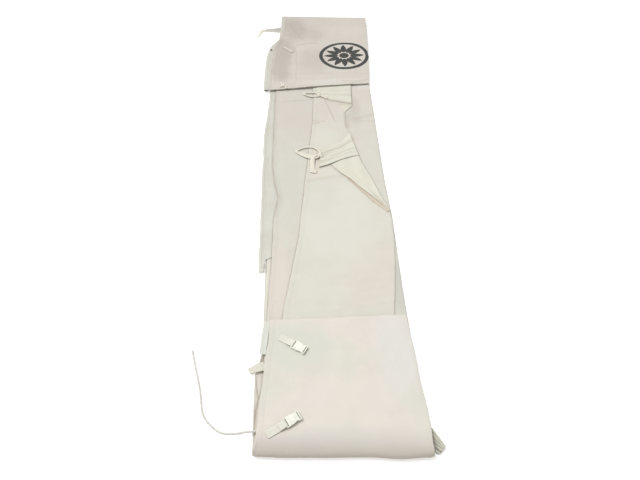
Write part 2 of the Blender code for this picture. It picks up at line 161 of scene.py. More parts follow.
def ripples(x, y, seed, length, count=16):
    """A smooth seeded random field of about unit size, with waves near the given length."""
    rng = np.random.default_rng(seed)
    total = np.zeros(np.broadcast(x, y).shape)
    for _ in range(count):
        turn, phase = rng.uniform(0, 2 * math.pi, 2)
        wave = 2 * math.pi / (length * rng.uniform(0.65, 1.7))
        total += np.sin(wave * (x * math.cos(turn) + y * math.sin(turn)) + phase)
    return total / math.sqrt(count / 2)


def swell(x, y):
    """The shared rise and fall of the pile, so that plies lie in one another."""
    return 0.60 * ripples(x, y, 11, 0.42) + 0.30 * ripples(
        x * 1.6, y * 0.8, 12, 0.15,
    ) + 0.13 * ripples(x, y, 13, 0.055)


def edge_x(points, y, soft=0.010):
    """A ply edge's x at y, with its corners rounded over a soft length."""
    ys = [p[1] for p in points]
    xs = [p[0] for p in points]
    offsets = np.linspace(-soft, soft, 7)
    return np.mean([np.interp(y + o, ys, xs) for o in offsets], axis=0)


def line_distance(x, y, points):
    """Distance to a polyline."""
    best = np.full(np.shape(x), 1e9)
    for (ax, ay), (bx, by) in zip(points, points[1:]):
        dx, dy = bx - ax, by - ay
        t = np.clip(((x - ax) * dx + (y - ay) * dy) / (dx * dx + dy * dy), 0, 1)
        best = np.minimum(best, np.hypot(x - ax - t * dx, y - ay - t * dy))
    return best


def creases(x, y, lines):
    """Sum of soft ridges and grooves, each a polyline with a width and a height."""
    total = np.zeros(np.shape(x))
    for points, width, height in lines:
        total += height * bell(line_distance(x, y, points), width)
    return total


def fold_point(fold, across, inward):
    cos, sin = math.cos(fold["slant"]), math.sin(fold["slant"])
    side = fold["inward"]
    return np.array([across * cos - side * inward * sin, fold["y"] + across * sin + side * inward * cos])


def fold_distance(fold, x, y):
    """How far inward of a fold's line a point lies."""
    cos, sin = math.cos(fold["slant"]), math.sin(fold["slant"])
    return fold["inward"] * ((y - fold["y"]) * cos - x * sin)


def polyline_at(points, shares):
    """Points at shares of a polyline's length, with soft corners."""
    points = np.array(points, float)
    run = run_along(points)
    samples = np.clip(shares, 0, 1) * run[-1]
    out = np.zeros((len(samples), points.shape[1]))
    for offset in np.linspace(-0.012, 0.012, 5):
        moved = np.clip(samples + offset, 0, run[-1])
        out += np.stack([np.interp(moved, run, points[:, k]) for k in range(points.shape[1])], axis=1)
    return out / 5


def spline(points, step):
    """Catmull-Rom samples through control points, about one step apart."""
    points = np.array(points, float)
    padded = np.vstack([2 * points[0] - points[1], points, 2 * points[-1] - points[-2]])
    out = []
    for i in range(1, len(padded) - 2):
        a, b, c, d = padded[i - 1 : i + 3]
        count = max(2, int(np.linalg.norm(c - b) / step))
        for t in np.arange(count) / count:
            square, cube = 2 * a - 5 * b + 4 * c - d, 3 * b - a - 3 * c + d
            out.append(0.5 * (2 * b + (c - a) * t + square * t**2 + cube * t**3))
    out.append(points[-1])
    return np.array(out)


# ---------------------------------------------------------------- mesh helpers

def link(obj):
    bpy.context.scene.collection.objects.link(obj)
    return obj


def mesh_from(name, verts, faces, uv=None):
    mesh = bpy.data.meshes.new(name)
    mesh.from_pydata([tuple(v) for v in verts], [], [tuple(f) for f in faces])
    if uv is not None:
        layer = mesh.uv_layers.new(name="UVMap")
        index = np.zeros(len(mesh.loops), np.int32)
        mesh.loops.foreach_get("vertex_index", index)
        layer.data.foreach_set("uv", np.asarray(uv, float)[index].astype(np.float32).ravel())
    mesh.shade_smooth()
    return link(bpy.data.objects.new(name, mesh))


def grid_object(name, points, uv, thickness=CLOTH, up=True, offset=-1.0, shade=None):
    """A sheet of cloth through a grid of points, with its own thickness. Shade (0 to 1) is painted shade: it
    browns its colour where shade falls.
    """
    rows, columns = points.shape[:2]
    index = np.arange(rows * columns).reshape(rows, columns)
    a, b, c, d = index[:-1, :-1], index[:-1, 1:], index[1:, 1:], index[1:, :-1]
    order = (a, b, c, d) if up else (a, d, c, b)
    faces = np.stack([o.ravel() for o in order], axis=1)
    obj = mesh_from(name, points.reshape(-1, 3), faces, uv.reshape(-1, 2))
    if shade is not None:
        layer = obj.data.attributes.new("shade", "FLOAT", "POINT")
        layer.data.foreach_set("value", np.clip(shade, 0, 1).astype(np.float32).ravel())
    if thickness:
        solid = obj.modifiers.new("cloth", "SOLIDIFY")
        solid.thickness = thickness
        solid.offset = offset
    return obj


def piece(obj, material, body=None, replaces=()):
    """Gives a finished piece its material and its body, and hides the CAD nodes it stands for."""
    obj.data.materials.clear()
    obj.data.materials.append(material)
    if body:
        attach(obj, body)
    if replaces:
        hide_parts(*replaces)
    return obj


def hem_height(distance, width, rise=HEM_RISE):
    """A doubled hem: it rises at the edge, stays level, dips at its stitches, then steps down."""
    level = rise * smooth((width + 0.003 - distance) / 0.003)
    stitches = -0.0006 * bell(distance - width + 0.0030, 0.0011)
    rounding = -rise * (1 - np.sqrt(1 - (1 - np.clip(distance / 0.0016, 0, 1)) ** 2))
    return level + stitches + rounding


def fold_drop(distance, width, drop):
    """A lengthwise fold: the cloth turns down at its edge as a quarter ellipse."""
    return -drop * (1 - np.sqrt(np.clip(1 - (1 - np.clip(distance / width, 0, 1)) ** 2, 0, 1)))


HEM_OFFSETS = np.array([0, 0.0006, 0.0016, 0.005, 0.009, 0.0118, 0.0130, 0.0142, 0.0162, 0.019, 0.023])
FOLD_OFFSETS = np.array([0, 0.0002, 0.0008, 0.0018, 0.0032, 0.0050, 0.0075, 0.011])
PLAIN_OFFSETS = np.array([0, 0.004])
OFFSETS = {"hem": HEM_OFFSETS, "fold": FOLD_OFFSETS, "plain": PLAIN_OFFSETS}


class Sheet:
    """A grid between a left and a right edge. Each row runs straight across the bag."""

    def __init__(self, left, right, left_kind="hem", right_kind="fold", step=STEP, left_offsets=None):
        self.left, self.right = np.array(left, float), np.array(right, float)
        width = np.linalg.norm(self.right - self.left, axis=1)
        first = OFFSETS[left_kind] if left_offsets is None else left_offsets
        last = OFFSETS[right_kind]
        inner = max(3, int((width.max() - first[-1] - last[-1]) / step))
        shares = np.concatenate([np.zeros(len(first)), np.arange(1, inner) / inner, np.ones(len(last))])
        middle = first[-1] * (1 - np.arange(1, inner) / inner) - last[-1] * np.arange(1, inner) / inner
        extra = np.concatenate([first, middle, -last[::-1]])
        self.from_left = extra[None, :] + shares[None, :] * width[:, None]
        self.from_right = width[:, None] - self.from_left
        across = (self.right - self.left) / width[:, None]
        flat = self.left[:, None, :] + across[:, None, :] * self.from_left[:, :, None]
        self.x, self.y = flat[..., 0], flat[..., 1]
        run = run_along((self.left + self.right) / 2)
        self.run = run[:, None] + np.zeros_like(self.x)
        self.to_end = run[-1] - self.run
        self.z = np.zeros_like(self.x)
        self.shade = np.zeros_like(self.x)

    def darken(self, *marks):
        """Paints shade on the cloth along polylines, where an edge above it or a crease shades it."""
        for points, width, strength in marks:
            near = bell(line_distance(self.x, self.y, points), width)
            self.shade = np.maximum(self.shade, strength * near)

    def cloth(self, name):
        return grid_object(name, self.points(), self.uv(), shade=self.shade)

    def points(self):
        return np.stack([self.x, self.y, self.z], axis=-1)

    def uv(self):
        return np.stack([self.x, self.y], axis=-1)

    def column_at(self, distance):
        return int(np.argmin(np.abs(self.from_left[len(self.from_left) // 2] - distance)))

    def row_from_end(self, distance):
        return int(np.argmin(np.abs(self.to_end[:, 0] - distance)))


def y_stations(start, end, step=STEP, hem_start=False, hem_end=False):
    first = HEM_OFFSETS if hem_start else PLAIN_OFFSETS
    last = HEM_OFFSETS if hem_end else PLAIN_OFFSETS
    length = end - start
    inner = max(2, int((length - first[-1] - last[-1]) / step))
    middle = np.linspace(first[-1], length - last[-1], inner + 1)[1:-1]
    return start + np.concatenate([first, middle, length - last[::-1]])


def stitch_row(name, path):
    """A row of thread stitches, each a short closed spindle, along a path of points."""
    path = np.array(path)
    run = run_along(path)
    starts = np.arange(STITCH_PITCH, run[-1] - STITCH_LENGTH, STITCH_PITCH)

    def at(s):
        return np.stack([np.interp(s, run, path[:, k]) for k in range(3)], axis=1)

    a, b = at(starts), at(starts + STITCH_LENGTH)
    side = unit(np.cross(b - a, [0, 0, 1.0]))
    middle = (a + b) / 2 + [0, 0, STITCH_LIFT]
    up = np.array([0, 0, STITCH_RADIUS])
    corners = [a, middle + side * STITCH_RADIUS, middle + up, middle - side * STITCH_RADIUS, middle - up, b]
    verts = np.stack(corners, axis=1).reshape(-1, 3)
    ring = [(1, 2), (2, 3), (3, 4), (4, 1)]
    pattern = np.array([(0, b, a) for a, b in ring] + [(5, a, b) for a, b in ring])
    faces = (pattern[None] + 6 * np.arange(len(starts))[:, None, None]).reshape(-1, 3)
    return mesh_from(name, verts, faces)


# ---------------------------------------------------------------- materials

class Nodes:
    """The node tree of a material or a world. Most methods add a node and give its output."""

    def __init__(self, block):
        block.use_nodes = True
        self.block, self.tree = block, block.node_tree

    def feed(self, socket, value):
        """Gives an input a plain value, a colour or another node's output."""
        if isinstance(value, bpy.types.NodeSocket):
            self.tree.links.new(value, socket)
        else:
            socket.default_value = (*value, 1.0) if socket.type == "RGBA" else value

    def add(self, kind, inputs=(), output=0, **settings):
        node = self.tree.nodes.new("ShaderNode" + kind)
        for key, value in settings.items():
            setattr(node, key, value)
        for key, value in dict(inputs).items():
            self.feed(node.inputs[key], value)
        return node.outputs[output]

    def maths(self, operation, *values):
        return self.add("Math", enumerate((*values, 0.0, 0.0)[:3]), operation=operation)

    def times(self, a, b):
        return self.maths("MULTIPLY", a, b)

    def minus(self, a, b):
        return self.maths("SUBTRACT", a, b)

    def vector(self, operation, *values, output=0):
        return self.add("VectorMath", enumerate(values), output, operation=operation)

    def mix(self, factor, a, b, blend="MIX"):
        return self.add("Mix", {0: factor, 6: a, 7: b}, 2, data_type="RGBA", blend_type=blend)

    def ramp(self, value, low, high):
        """0 below low, 1 above high, smooth between."""
        return self.add("MapRange", enumerate((value, low, high)), interpolation_type="SMOOTHSTEP")

    def noise(self, vector, scale, detail=2.0, rough=0.5, distortion=0.0):
        return self.add("TexNoise", {
            "Vector": vector, "Scale": scale, "Detail": detail, "Roughness": rough, "Distortion": distortion,
        })

    def weave(self, vector, pitch):
        """The height of a plain weave: warp and weft threads that pass over each other in turn."""
        split = self.vector_parts(vector)
        wave_u, wave_v = (self.maths("SINE", self.times(split[k], math.pi / pitch)) for k in (0, 1))
        over = self.maths("MULTIPLY_ADD", self.times(wave_u, wave_v), 0.5, 0.5)
        warp = self.times(self.maths("ABSOLUTE", wave_u), over)
        weft = self.times(self.maths("ABSOLUTE", wave_v), self.minus(1.0, over))
        return self.maths("MAXIMUM", warp, weft)

    def vector_parts(self, vector):
        return self.add("SeparateXYZ", {0: vector}).node.outputs

    def bump(self, height, distance, strength=1.0, normal=None):
        inputs = {"Height": height, "Distance": distance, "Strength": strength}
        if normal is not None:
            inputs["Normal"] = normal
        return self.add("Bump", inputs)

    def finish(self, **inputs):
        """Sets the main shader's inputs, named with _ for a space, and gives the material."""
        shader = self.tree.nodes["Principled BSDF"]
        for key, value in inputs.items():
            self.feed(shader.inputs[key.replace("_", " ")], value)
        return self.block


def new_look(name):
    return Nodes(bpy.data.materials.new(name))


def cloth_material(name, warm, cool, patches=(), pitch=0.0011, seed=0.0, crumple=0.0016, cool_share=0.5):
    """Cotton canvas: woven threads, slubs, soft crumples and slow warm and cool patches, with painted shade
    from the shade attribute and in the gaps between threads.
    Each patch is (x, y, half width, half height, colour, strength) on the cloth; some patches are painted
    shade."""
    look = new_look(name)
    uv = look.add("UVMap")
    moved = look.vector("ADD", uv, (seed, seed * 0.7, seed * 0.3))
    threshold = 0.28 + 0.30 * cool_share
    tone = look.ramp(look.noise(moved, 3.4, 3.0, 0.55, 0.4), threshold, threshold + 0.24)
    colour = look.mix(tone, cool, warm)
    cloud = look.ramp(look.noise(moved, 14.0, 4.0, 0.6), 0.30, 0.75)
    colour = look.mix(look.times(cloud, 0.10), colour, (0.62, 0.58, 0.52), "MULTIPLY")
    for x, y, half_x, half_y, tint, strength in patches:
        scaled = look.vector("MULTIPLY", look.vector("SUBTRACT", uv, (x, y, 0)), (1 / half_x, 1 / half_y, 0))
        rough = look.times(look.minus(look.noise(moved, 9.0, 3.0), 0.5), 0.9)
        ragged = look.maths("ADD", look.vector("LENGTH", scaled, output="Value"), rough)
        inside = look.minus(1.0, look.ramp(ragged, 0.35, 1.15))
        colour = look.mix(look.times(inside, strength), colour, tint)
    threads = look.weave(uv, pitch)
    slubs = look.noise(look.vector("MULTIPLY", moved, (260, 1300, 1)), 1.0, 2.0)
    # Painted shade: the colour darkens in the gaps between the threads
    gaps = look.times(look.minus(1.0, threads), 0.16)
    colour = look.mix(gaps, colour, (0.55, 0.52, 0.46), "MULTIPLY")
    colour = look.mix(look.times(slubs, 0.05), colour, (0.95, 0.92, 0.84))
    normal = look.bump(look.noise(moved, 26.0, 6.0, 0.62, 0.8), crumple, 0.55)
    normal = look.bump(look.maths("MULTIPLY_ADD", slubs, 0.5, threads), 0.00022, 0.8, normal)
    # The shade attribute is painted shade: under edges, in creases and where the cloth turns from the light
    shade = look.add("Attribute", output="Fac", attribute_name="shade")
    return look.finish(
        Base_Color=look.mix(shade, colour, PAINTED_SHADE_BROWN), Normal=normal, Roughness=0.92,
        Specular_IOR_Level=0.18, Sheen_Weight=0.12, Sheen_Roughness=0.6,
    )


def tape_material(name, colour, rib=0.0016):
    """Cotton tape and webbing: a herringbone of fine ribs, with some grey wear."""
    look = new_look(name)
    uv = look.add("UVMap")
    across, along = look.vector_parts(uv)[:2]
    slanted = look.maths("ADD", along, look.maths("PINGPONG", across, rib * 2.0))
    ribs = look.maths("ABSOLUTE", look.maths("SINE", look.times(slanted, math.pi / rib)))
    wear = look.ramp(look.noise(uv, 60.0, 4.0, 0.6), 0.35, 0.8)
    shade = look.mix(look.times(wear, 0.12), colour, (0.62, 0.57, 0.48))
    # Painted shade: the colour darkens between the ribs
    shade = look.mix(look.times(look.minus(1.0, ribs), 0.14), shade, (0.62, 0.58, 0.50), "MULTIPLY")
    normal = look.bump(look.noise(uv, 120.0, 3.0), 0.0006, 0.5)
    normal = look.bump(ribs, 0.00035, 0.9, normal)
    return look.finish(Base_Color=shade, Normal=normal, Roughness=0.9, Sheen_Weight=0.1)


def mottled_material(name, colour, other, scale, roughness, depth, **more):
    """A moulded or twisted surface with mottled colour and a fine grain."""
    look = new_look(name)
    place = look.add("TexCoord", output="Object")
    mottle = look.ramp(look.noise(place, scale, 4.0, 0.6), 0.3, 0.75)
    grain = look.noise(place, scale * 14, 3.0, 0.6)
    return look.finish(
        Base_Color=look.mix(mottle, colour, other), Normal=look.bump(grain, depth, 0.7),
        Roughness=look.maths("MULTIPLY_ADD", mottle, 0.15, roughness), **more,
    )


# The patches in SHADED_CANVAS paint shade over the left part of the far flap
FAR_PATCHES = (
    (-0.165, 1.230, 0.090, 0.170, SHADED_CANVAS, 0.80),
    (-0.060, 1.170, 0.100, 0.110, SHADED_CANVAS, 0.45),
    (-0.225, 1.000, 0.070, 0.170, SHADED_CANVAS, 0.85),
    (-0.235, 0.800, 0.070, 0.180, SHADED_CANVAS, 0.82),
    (-0.040, 0.860, 0.130, 0.170, (0.565, 0.515, 0.460), 0.80),
    (-0.238, 1.300, 0.016, 0.170, (0.600, 0.590, 0.530), 0.9),
    (0.080, 0.630, 0.260, 0.050, (0.690, 0.665, 0.590), 0.7),
    (0.180, 1.250, 0.160, 0.160, (0.680, 0.622, 0.560), 0.6),
)
# The first and fourth patches paint shade on the flap where it turns down at the near fold
NEAR_PATCHES = (
    (-0.160, -1.330, 0.160, 0.030, (0.600, 0.580, 0.560), 0.5),
    (-0.150, -1.000, 0.150, 0.120, (0.640, 0.644, 0.568), 0.9),
    (0.210, -1.020, 0.085, 0.240, (0.700, 0.690, 0.650), 0.7),
    (0.020, -1.320, 0.300, 0.045, (0.630, 0.600, 0.570), 0.5),
    (0.000, -1.190, 0.220, 0.100, (0.735, 0.680, 0.615), 0.6),
)
FRONT_PATCHES = (
    (0.020, 0.400, 0.100, 0.160, (0.640, 0.588, 0.532), 0.8),
    (0.060, -0.330, 0.240, 0.380, COOL_CANVAS, 0.75),
    (-0.040, -0.230, 0.110, 0.160, (0.630, 0.622, 0.548), 0.6),
    (-0.020, 0.150, 0.070, 0.110, COOL_CANVAS, 0.5),
    (0.120, 0.420, 0.045, 0.030, CREAM_CLOTH, 0.7),
    (0.080, -0.145, 0.120, 0.030, (0.640, 0.615, 0.550), 0.35),
)
# The first two patches paint shade: beside the front panel's folded right edge, and right of the front
# panel's edge near the upper tie's tab
SIDE_PATCHES = (
    (0.252, -0.740, 0.034, 0.160, (0.560, 0.555, 0.490), 0.9),
    (0.160, 0.380, 0.045, 0.150, SHADED_CANVAS, 0.45),
    (0.225, 0.620, 0.050, 0.060, (0.700, 0.700, 0.660), 0.6),
)
LEFT_PATCHES = (
    (-0.215, -0.720, 0.050, 0.260, (0.680, 0.620, 0.558), 0.85),
    (-0.240, 0.500, 0.060, 0.200, (0.640, 0.580, 0.520), 0.5),
    (-0.150, 0.380, 0.120, 0.230, (0.618, 0.566, 0.510), 0.6),
    (-0.185, -0.150, 0.080, 0.220, (0.596, 0.586, 0.516), 0.6),
)
LINING_PATCHES = (
    (-0.262, -0.780, 0.030, 0.220, (0.700, 0.690, 0.605), 0.9),
    (-0.275, -1.160, 0.012, 0.060, (0.740, 0.710, 0.630), 0.8),
    # The last two patches paint shade: on the lining under the binding tape and at the near fold's left end
    (-0.275, -1.036, 0.040, 0.026, (0.400, 0.350, 0.300), 0.95),
    (-0.290, -1.270, 0.014, 0.130, (0.430, 0.380, 0.340), 0.9),
)
canvas = cloth_material("canvas", (0.636, 0.588, 0.528), (0.626, 0.614, 0.542), LEFT_PATCHES, seed=3.1)
canvas_front = cloth_material(
    "canvas_front", (0.675, 0.625, 0.560), (0.662, 0.650, 0.572), FRONT_PATCHES, seed=5.3, cool_share=0.6,
)
canvas_side = cloth_material(
    "canvas_side", (0.660, 0.612, 0.550), (0.650, 0.638, 0.564), SIDE_PATCHES, seed=6.6, cool_share=0.55,
)
canvas_near = cloth_material(
    "canvas_near_flap", (0.720, 0.668, 0.605), COOL_CANVAS, NEAR_PATCHES, seed=7.7, cool_share=0.25,
)
canvas_far = cloth_material(
    "canvas_far_flap", FAR_CANVAS, (0.640, 0.605, 0.540), FAR_PATCHES, seed=9.1, cool_share=0.3,
)
lining_cloth = cloth_material(
    "lining_cloth", (0.680, 0.632, 0.560), (0.660, 0.630, 0.560), LINING_PATCHES, seed=1.9,
)
cream_cloth = cloth_material(
    "cream_cloth", CREAM_CLOTH, (0.700, 0.690, 0.590), seed=2.2, pitch=0.0008, crumple=0.0022,
)
# Painted light: a much lighter copy of the canvas, so that the gathered tail looks lit where the near fold
# shades it
gather_cloth = cloth_material(
    "gathered_cloth", (0.900, 0.890, 0.780), (0.860, 0.870, 0.770), seed=4.4, crumple=0.0030,
)
shaded_cloth = cloth_material("shaded_cloth", (0.590, 0.500, 0.400), (0.620, 0.540, 0.440), seed=6.2)
canvas_band = cloth_material("canvas_band", (0.600, 0.580, 0.515), (0.640, 0.640, 0.575), seed=8.8)
tape_plain = cloth_material(
    "binding_cloth", (0.700, 0.700, 0.630), (0.690, 0.705, 0.640), seed=1.2, pitch=0.0008,
)
tape = tape_material("herringbone_tape", CREAM_TAPE)
webbing = tape_material("webbing", (0.740, 0.735, 0.640), rib=0.0021)
thread = mottled_material("thread", (0.780, 0.740, 0.640), (0.70, 0.66, 0.56), 300.0, 0.8, 0.0001)
cord_fibre = mottled_material("cord_fibre", CORD_WHITE, (0.60, 0.58, 0.53), 90.0, 0.8, 0.0005)
ivory_plastic = mottled_material(
    "ivory_plastic", IVORY, (0.760, 0.755, 0.660), 120.0, 0.34, 0.00006,
    Subsurface_Weight=0.1, Subsurface_Radius=(0.002, 0.002, 0.0015),
)
print_ink = mottled_material("print_ink", CHARCOAL, (0.062, 0.066, 0.062), 60.0, 0.72, 0.0002)
aged_brass = mottled_material("aged_brass", BRASS, (0.06, 0.05, 0.04), 400.0, 0.45, 0.0002, Metallic=0.8)


# ---------------------------------------------------------------- cloth of the middle

# How much of the pile's rise and fall each ply shows
SWELL = {
    "lining": 0.00015, "facing": 0.0003, "left_front": 0.00045, "right_side": 0.00045, "front": 0.0007,
    "tab": 0.0009, "flap_lining": 0.0010, "flap": 0.0012,
}


def long_ply(name, node, kinds, left, right, rows, lines=(), drop=0.0, start_hem=False):
    """A ply of the middle, between two edges given as x for y."""
    left_x, right_x = edge_x(left, rows), edge_x(right, rows)
    left_x = left_x + 0.0008 * ripples(rows, 0 * rows, len(name), 0.10)
    sheet = Sheet(np.stack([left_x, rows], axis=1), np.stack([right_x, rows], axis=1), *kinds)
    sheet.z = top_of(node) + SWELL[name] * swell(sheet.x, sheet.y) + creases(sheet.x, sheet.y, lines)
    if kinds[0] == "hem":
        sheet.z += hem_height(sheet.from_left, HEM_WIDTH)
    if kinds[1] == "fold":
        sheet.z += fold_drop(sheet.from_right, 0.010, drop)
    if start_hem:
        sheet.z += hem_height(sheet.run, HEM_WIDTH)
    return sheet


def lay_ply(name, sheet, material, node, dark, stitched=True):
    """Makes a ply of the middle into a piece, with two rows of stitches along its left hem."""
    sheet.darken(*dark)
    piece(sheet.cloth(name + "_cloth"), material, "root", [node])
    for index, inset in enumerate(STITCH_INSETS if stitched else ()):
        path = sheet.points()[:, sheet.column_at(inset)]
        piece(stitch_row(f"{name}_stitches_{index + 1}", path), thread, "root")


def back_panel():
    share = np.linspace(0, 1, 200)
    edges = []
    for side, points in (("left", BACK_LEFT), ("right", BACK_RIGHT)):
        near, far = (fold_point(fold, fold[side], 0.0)[1] for fold in (NEAR, FAR))
        y = near + (far - near) * share
        edges.append(np.stack([edge_x(points, y), y], axis=1))
    sheet = Sheet(*edges, "plain", "plain", step=0.016)
    sheet.z += 0.0010
    piece(sheet.cloth("back_panel_cloth"), canvas, "root", ["back_panel"])


def back_lining():
    inset = np.array((0.005, 0.0))
    rows = y_stations(-1.335, 1.315)
    sheet = long_ply("lining", "back_lining", ("plain", "plain"), BACK_LEFT + inset, BACK_RIGHT - inset, rows)
    # Painted shade: under the left front ply's edge and along the dart folds at the near left
    dark = (
        (LEFT_FRONT_LEFT, 0.0045, 0.55),
        (
            mm((-287, -1090), (-280, -1145), (-272, -1175), (-275, -1190), (-283, -1245), (-284, -1295)),
            0.0034, 0.85,
        ),
        (mm((-262, -1120), (-270, -1172)), 0.003, 0.55),
    )
    lay_ply("back_lining", sheet, lining_cloth, "back_lining", dark, stitched=False)


def left_facing():
    rows = y_stations(-0.634, 1.00, hem_start=True)
    inner_edge = mm((-272.5, -650), (-273.5, -586), (-200, -570), (-200, 1000))
    sheet = long_ply("facing", "left_facing", ("hem", "plain"), FACING_LEFT, inner_edge, rows, start_hem=True)
    # Painted shade: under the left front ply's edge and along the steps of the facing's hem and its second
    # ply
    dark = (
        (LEFT_FRONT_LEFT, 0.0045, 0.60),
        (FACING_LEFT + (0.0125, 0), 0.0016, 0.34),
        (FACING_LEFT + (0.0255, 0), 0.0016, 0.30),
    )
    lay_ply("left_facing", sheet, canvas_band, "left_facing", dark)


def left_front():
    rows = y_stations(-1.33, 1.30)
    inner_edge = mm((0, -1340), (0, 1330))
    press = mm((-230, 479), (-150, 486), (-66, 492))
    lines = (
        (mm((-245, -165), (-222, -250), (-239, -345)), 0.010, 0.0016),
        (press, 0.005, -0.0006),
        (mm((-200, -150), (-160, -190)), 0.006, 0.0007),
        (mm((-190, -760), (-236, -800)), 0.007, 0.0008),
    )
    # Painted shade: under the front panel's edge, along the pressed crease and along the step inside the left
    # hem
    dark = ((FRONT_LEFT, 0.0035, 0.62), (press, 0.003, 0.38), (LEFT_FRONT_LEFT[3:] + (0.004, 0), 0.005, 0.24))
    sheet = long_ply(
        "left_front", "left_front_panel", ("hem", "plain"), LEFT_FRONT_LEFT, inner_edge, rows, lines,
    )
    lay_ply("left_front", sheet, canvas, "left_front_panel", dark)


def right_side():
    rows = y_stations(-1.33, 1.30)
    inner_edge = mm((4, -1340), (4, 1330))
    lines = (
        (mm((177, 358), (269, 363)), 0.007, 0.0006),
        (mm((150, 120), (262, 60)), 0.012, -0.0006),
        (mm((200, -60), (262, -90)), 0.008, 0.0006),
        (mm((160, 520), (262, 500)), 0.010, 0.0007),
    )
    # Painted shade: under the front panel's edge and in the hollows beside the upper tie's tab
    dark = (
        (FRONT_RIGHT, 0.0045, 0.36),
        (mm((118, 250), (120, 345)), 0.016, 0.30),
        (mm((128, 300), (262, 350)), 0.010, 0.16),
        (mm((186, 300), (262, 285)), 0.006, 0.14),
    )
    drop = top_of("right_side_panel") - 0.0020
    sheet = long_ply(
        "right_side", "right_side_panel", ("plain", "fold"), inner_edge, BACK_RIGHT, rows, lines, drop,
    )
    lay_ply("right_side", sheet, canvas_side, "right_side_panel", dark, stitched=False)


def front_panel():
    rows = y_stations(-1.32, 1.28)
    tie_crease = mm((3, 495), (28, 400), (52, 304))
    upper_pinch, lower_pinch = mm((-64, 301), (1, 298)), mm((-65, 281), (-23, 287))
    lines = (
        (tie_crease, 0.006, 0.0011),
        (upper_pinch, 0.0045, 0.0010),
        (lower_pinch, 0.0045, -0.0008),
        (mm((-95, -142), (0, -125), (104, -130)), 0.008, 0.0009),
        (mm((-110, -230), (60, -215), (200, -300)), 0.018, -0.0009),
        (mm((-150, -700), (50, -720), (268, -690)), 0.014, 0.0008),
        (mm((-190, -845), (0, -840), (268, -800)), 0.010, 0.0009),
        (mm((266, -834), (258, -600), (262, -420)), 0.006, 0.0008),
        (mm((60, 360), (110, 372)), 0.008, 0.0010),
    )
    # Painted shade: along creases and pinches, under the edges of the tie tabs and of the turned corner, and
    # by the panel's right edge
    dark = (
        (tie_crease, 0.0028, 0.42),
        (upper_pinch, 0.0030, 0.42),
        (lower_pinch, 0.0030, 0.42),
        (mm((-50, 546), (-14, 509), (42, 475), (97, 456), (157, 436)), 0.006, 0.40),
        (mm((105, -118), (30, -120), (-90, -140)), 0.010, 0.16),
        (mm((106, 240), (107, 362)), 0.004, 0.22),
        (mm((90, 440), (150, 425)), 0.012, 0.20),
        (mm((-43, -62), (16, -41), (61, -97), (101, -140)), 0.005, 0.28),
        (mm((101, -140), (148, -201), (198, -260), (268, -352)), 0.007, 0.42),
    )
    sheet = long_ply("front", "front_panel", ("hem", "fold"), FRONT_LEFT, FRONT_RIGHT, rows, lines)
    folded_edge = smooth((-0.34 - sheet.y) / 0.03) * smooth((sheet.y + 0.50) / 0.05)
    full_drop = top_of("front_panel") - 0.0035
    sheet.z += fold_drop(
        sheet.from_right, 0.010, 1.0,
    ) * (full_drop * folded_edge + 0.0012 * (1 - folded_edge))
    lay_ply("front_panel", sheet, canvas_front, "front_panel", dark)


# ---------------------------------------------------------------- folded ends

def flap_height(end, x, y):
    """Height of a flap's cloth at (x, y): it sinks from its fold onto the pile and then follows the pile."""
    inward = np.clip(fold_distance(end["fold"], x, y), 0, None)
    sunk = smooth(inward / SINK_LENGTH)
    settled = smooth(inward / 0.09)
    height = (FOLD_RADIUS + end["radius"]) * (1 - sunk) + end["top"] * sunk
    height += settled * (end["swell"] * swell(x, y) + creases(x, y, end["lines"]))
    if end["emboss"]:
        height += settled * end["emboss"](x, y)
    return height


def end_stitches(name, fold, sheet, body):
    """Two rows of stitches along a flap's left hem and two along its end."""
    for index, inset in enumerate(STITCH_INSETS):
        path = sheet.points()[:, sheet.column_at(inset)]
        path = path[fold_distance(fold, path[:, 0], path[:, 1]) > 0.045]
        piece(stitch_row(f"{name}_side_stitches_{index + 1}", path), thread, body)
        path = sheet.points()[sheet.row_from_end(inset)]
        piece(stitch_row(f"{name}_hem_stitches_{index + 1}", path), thread, body)


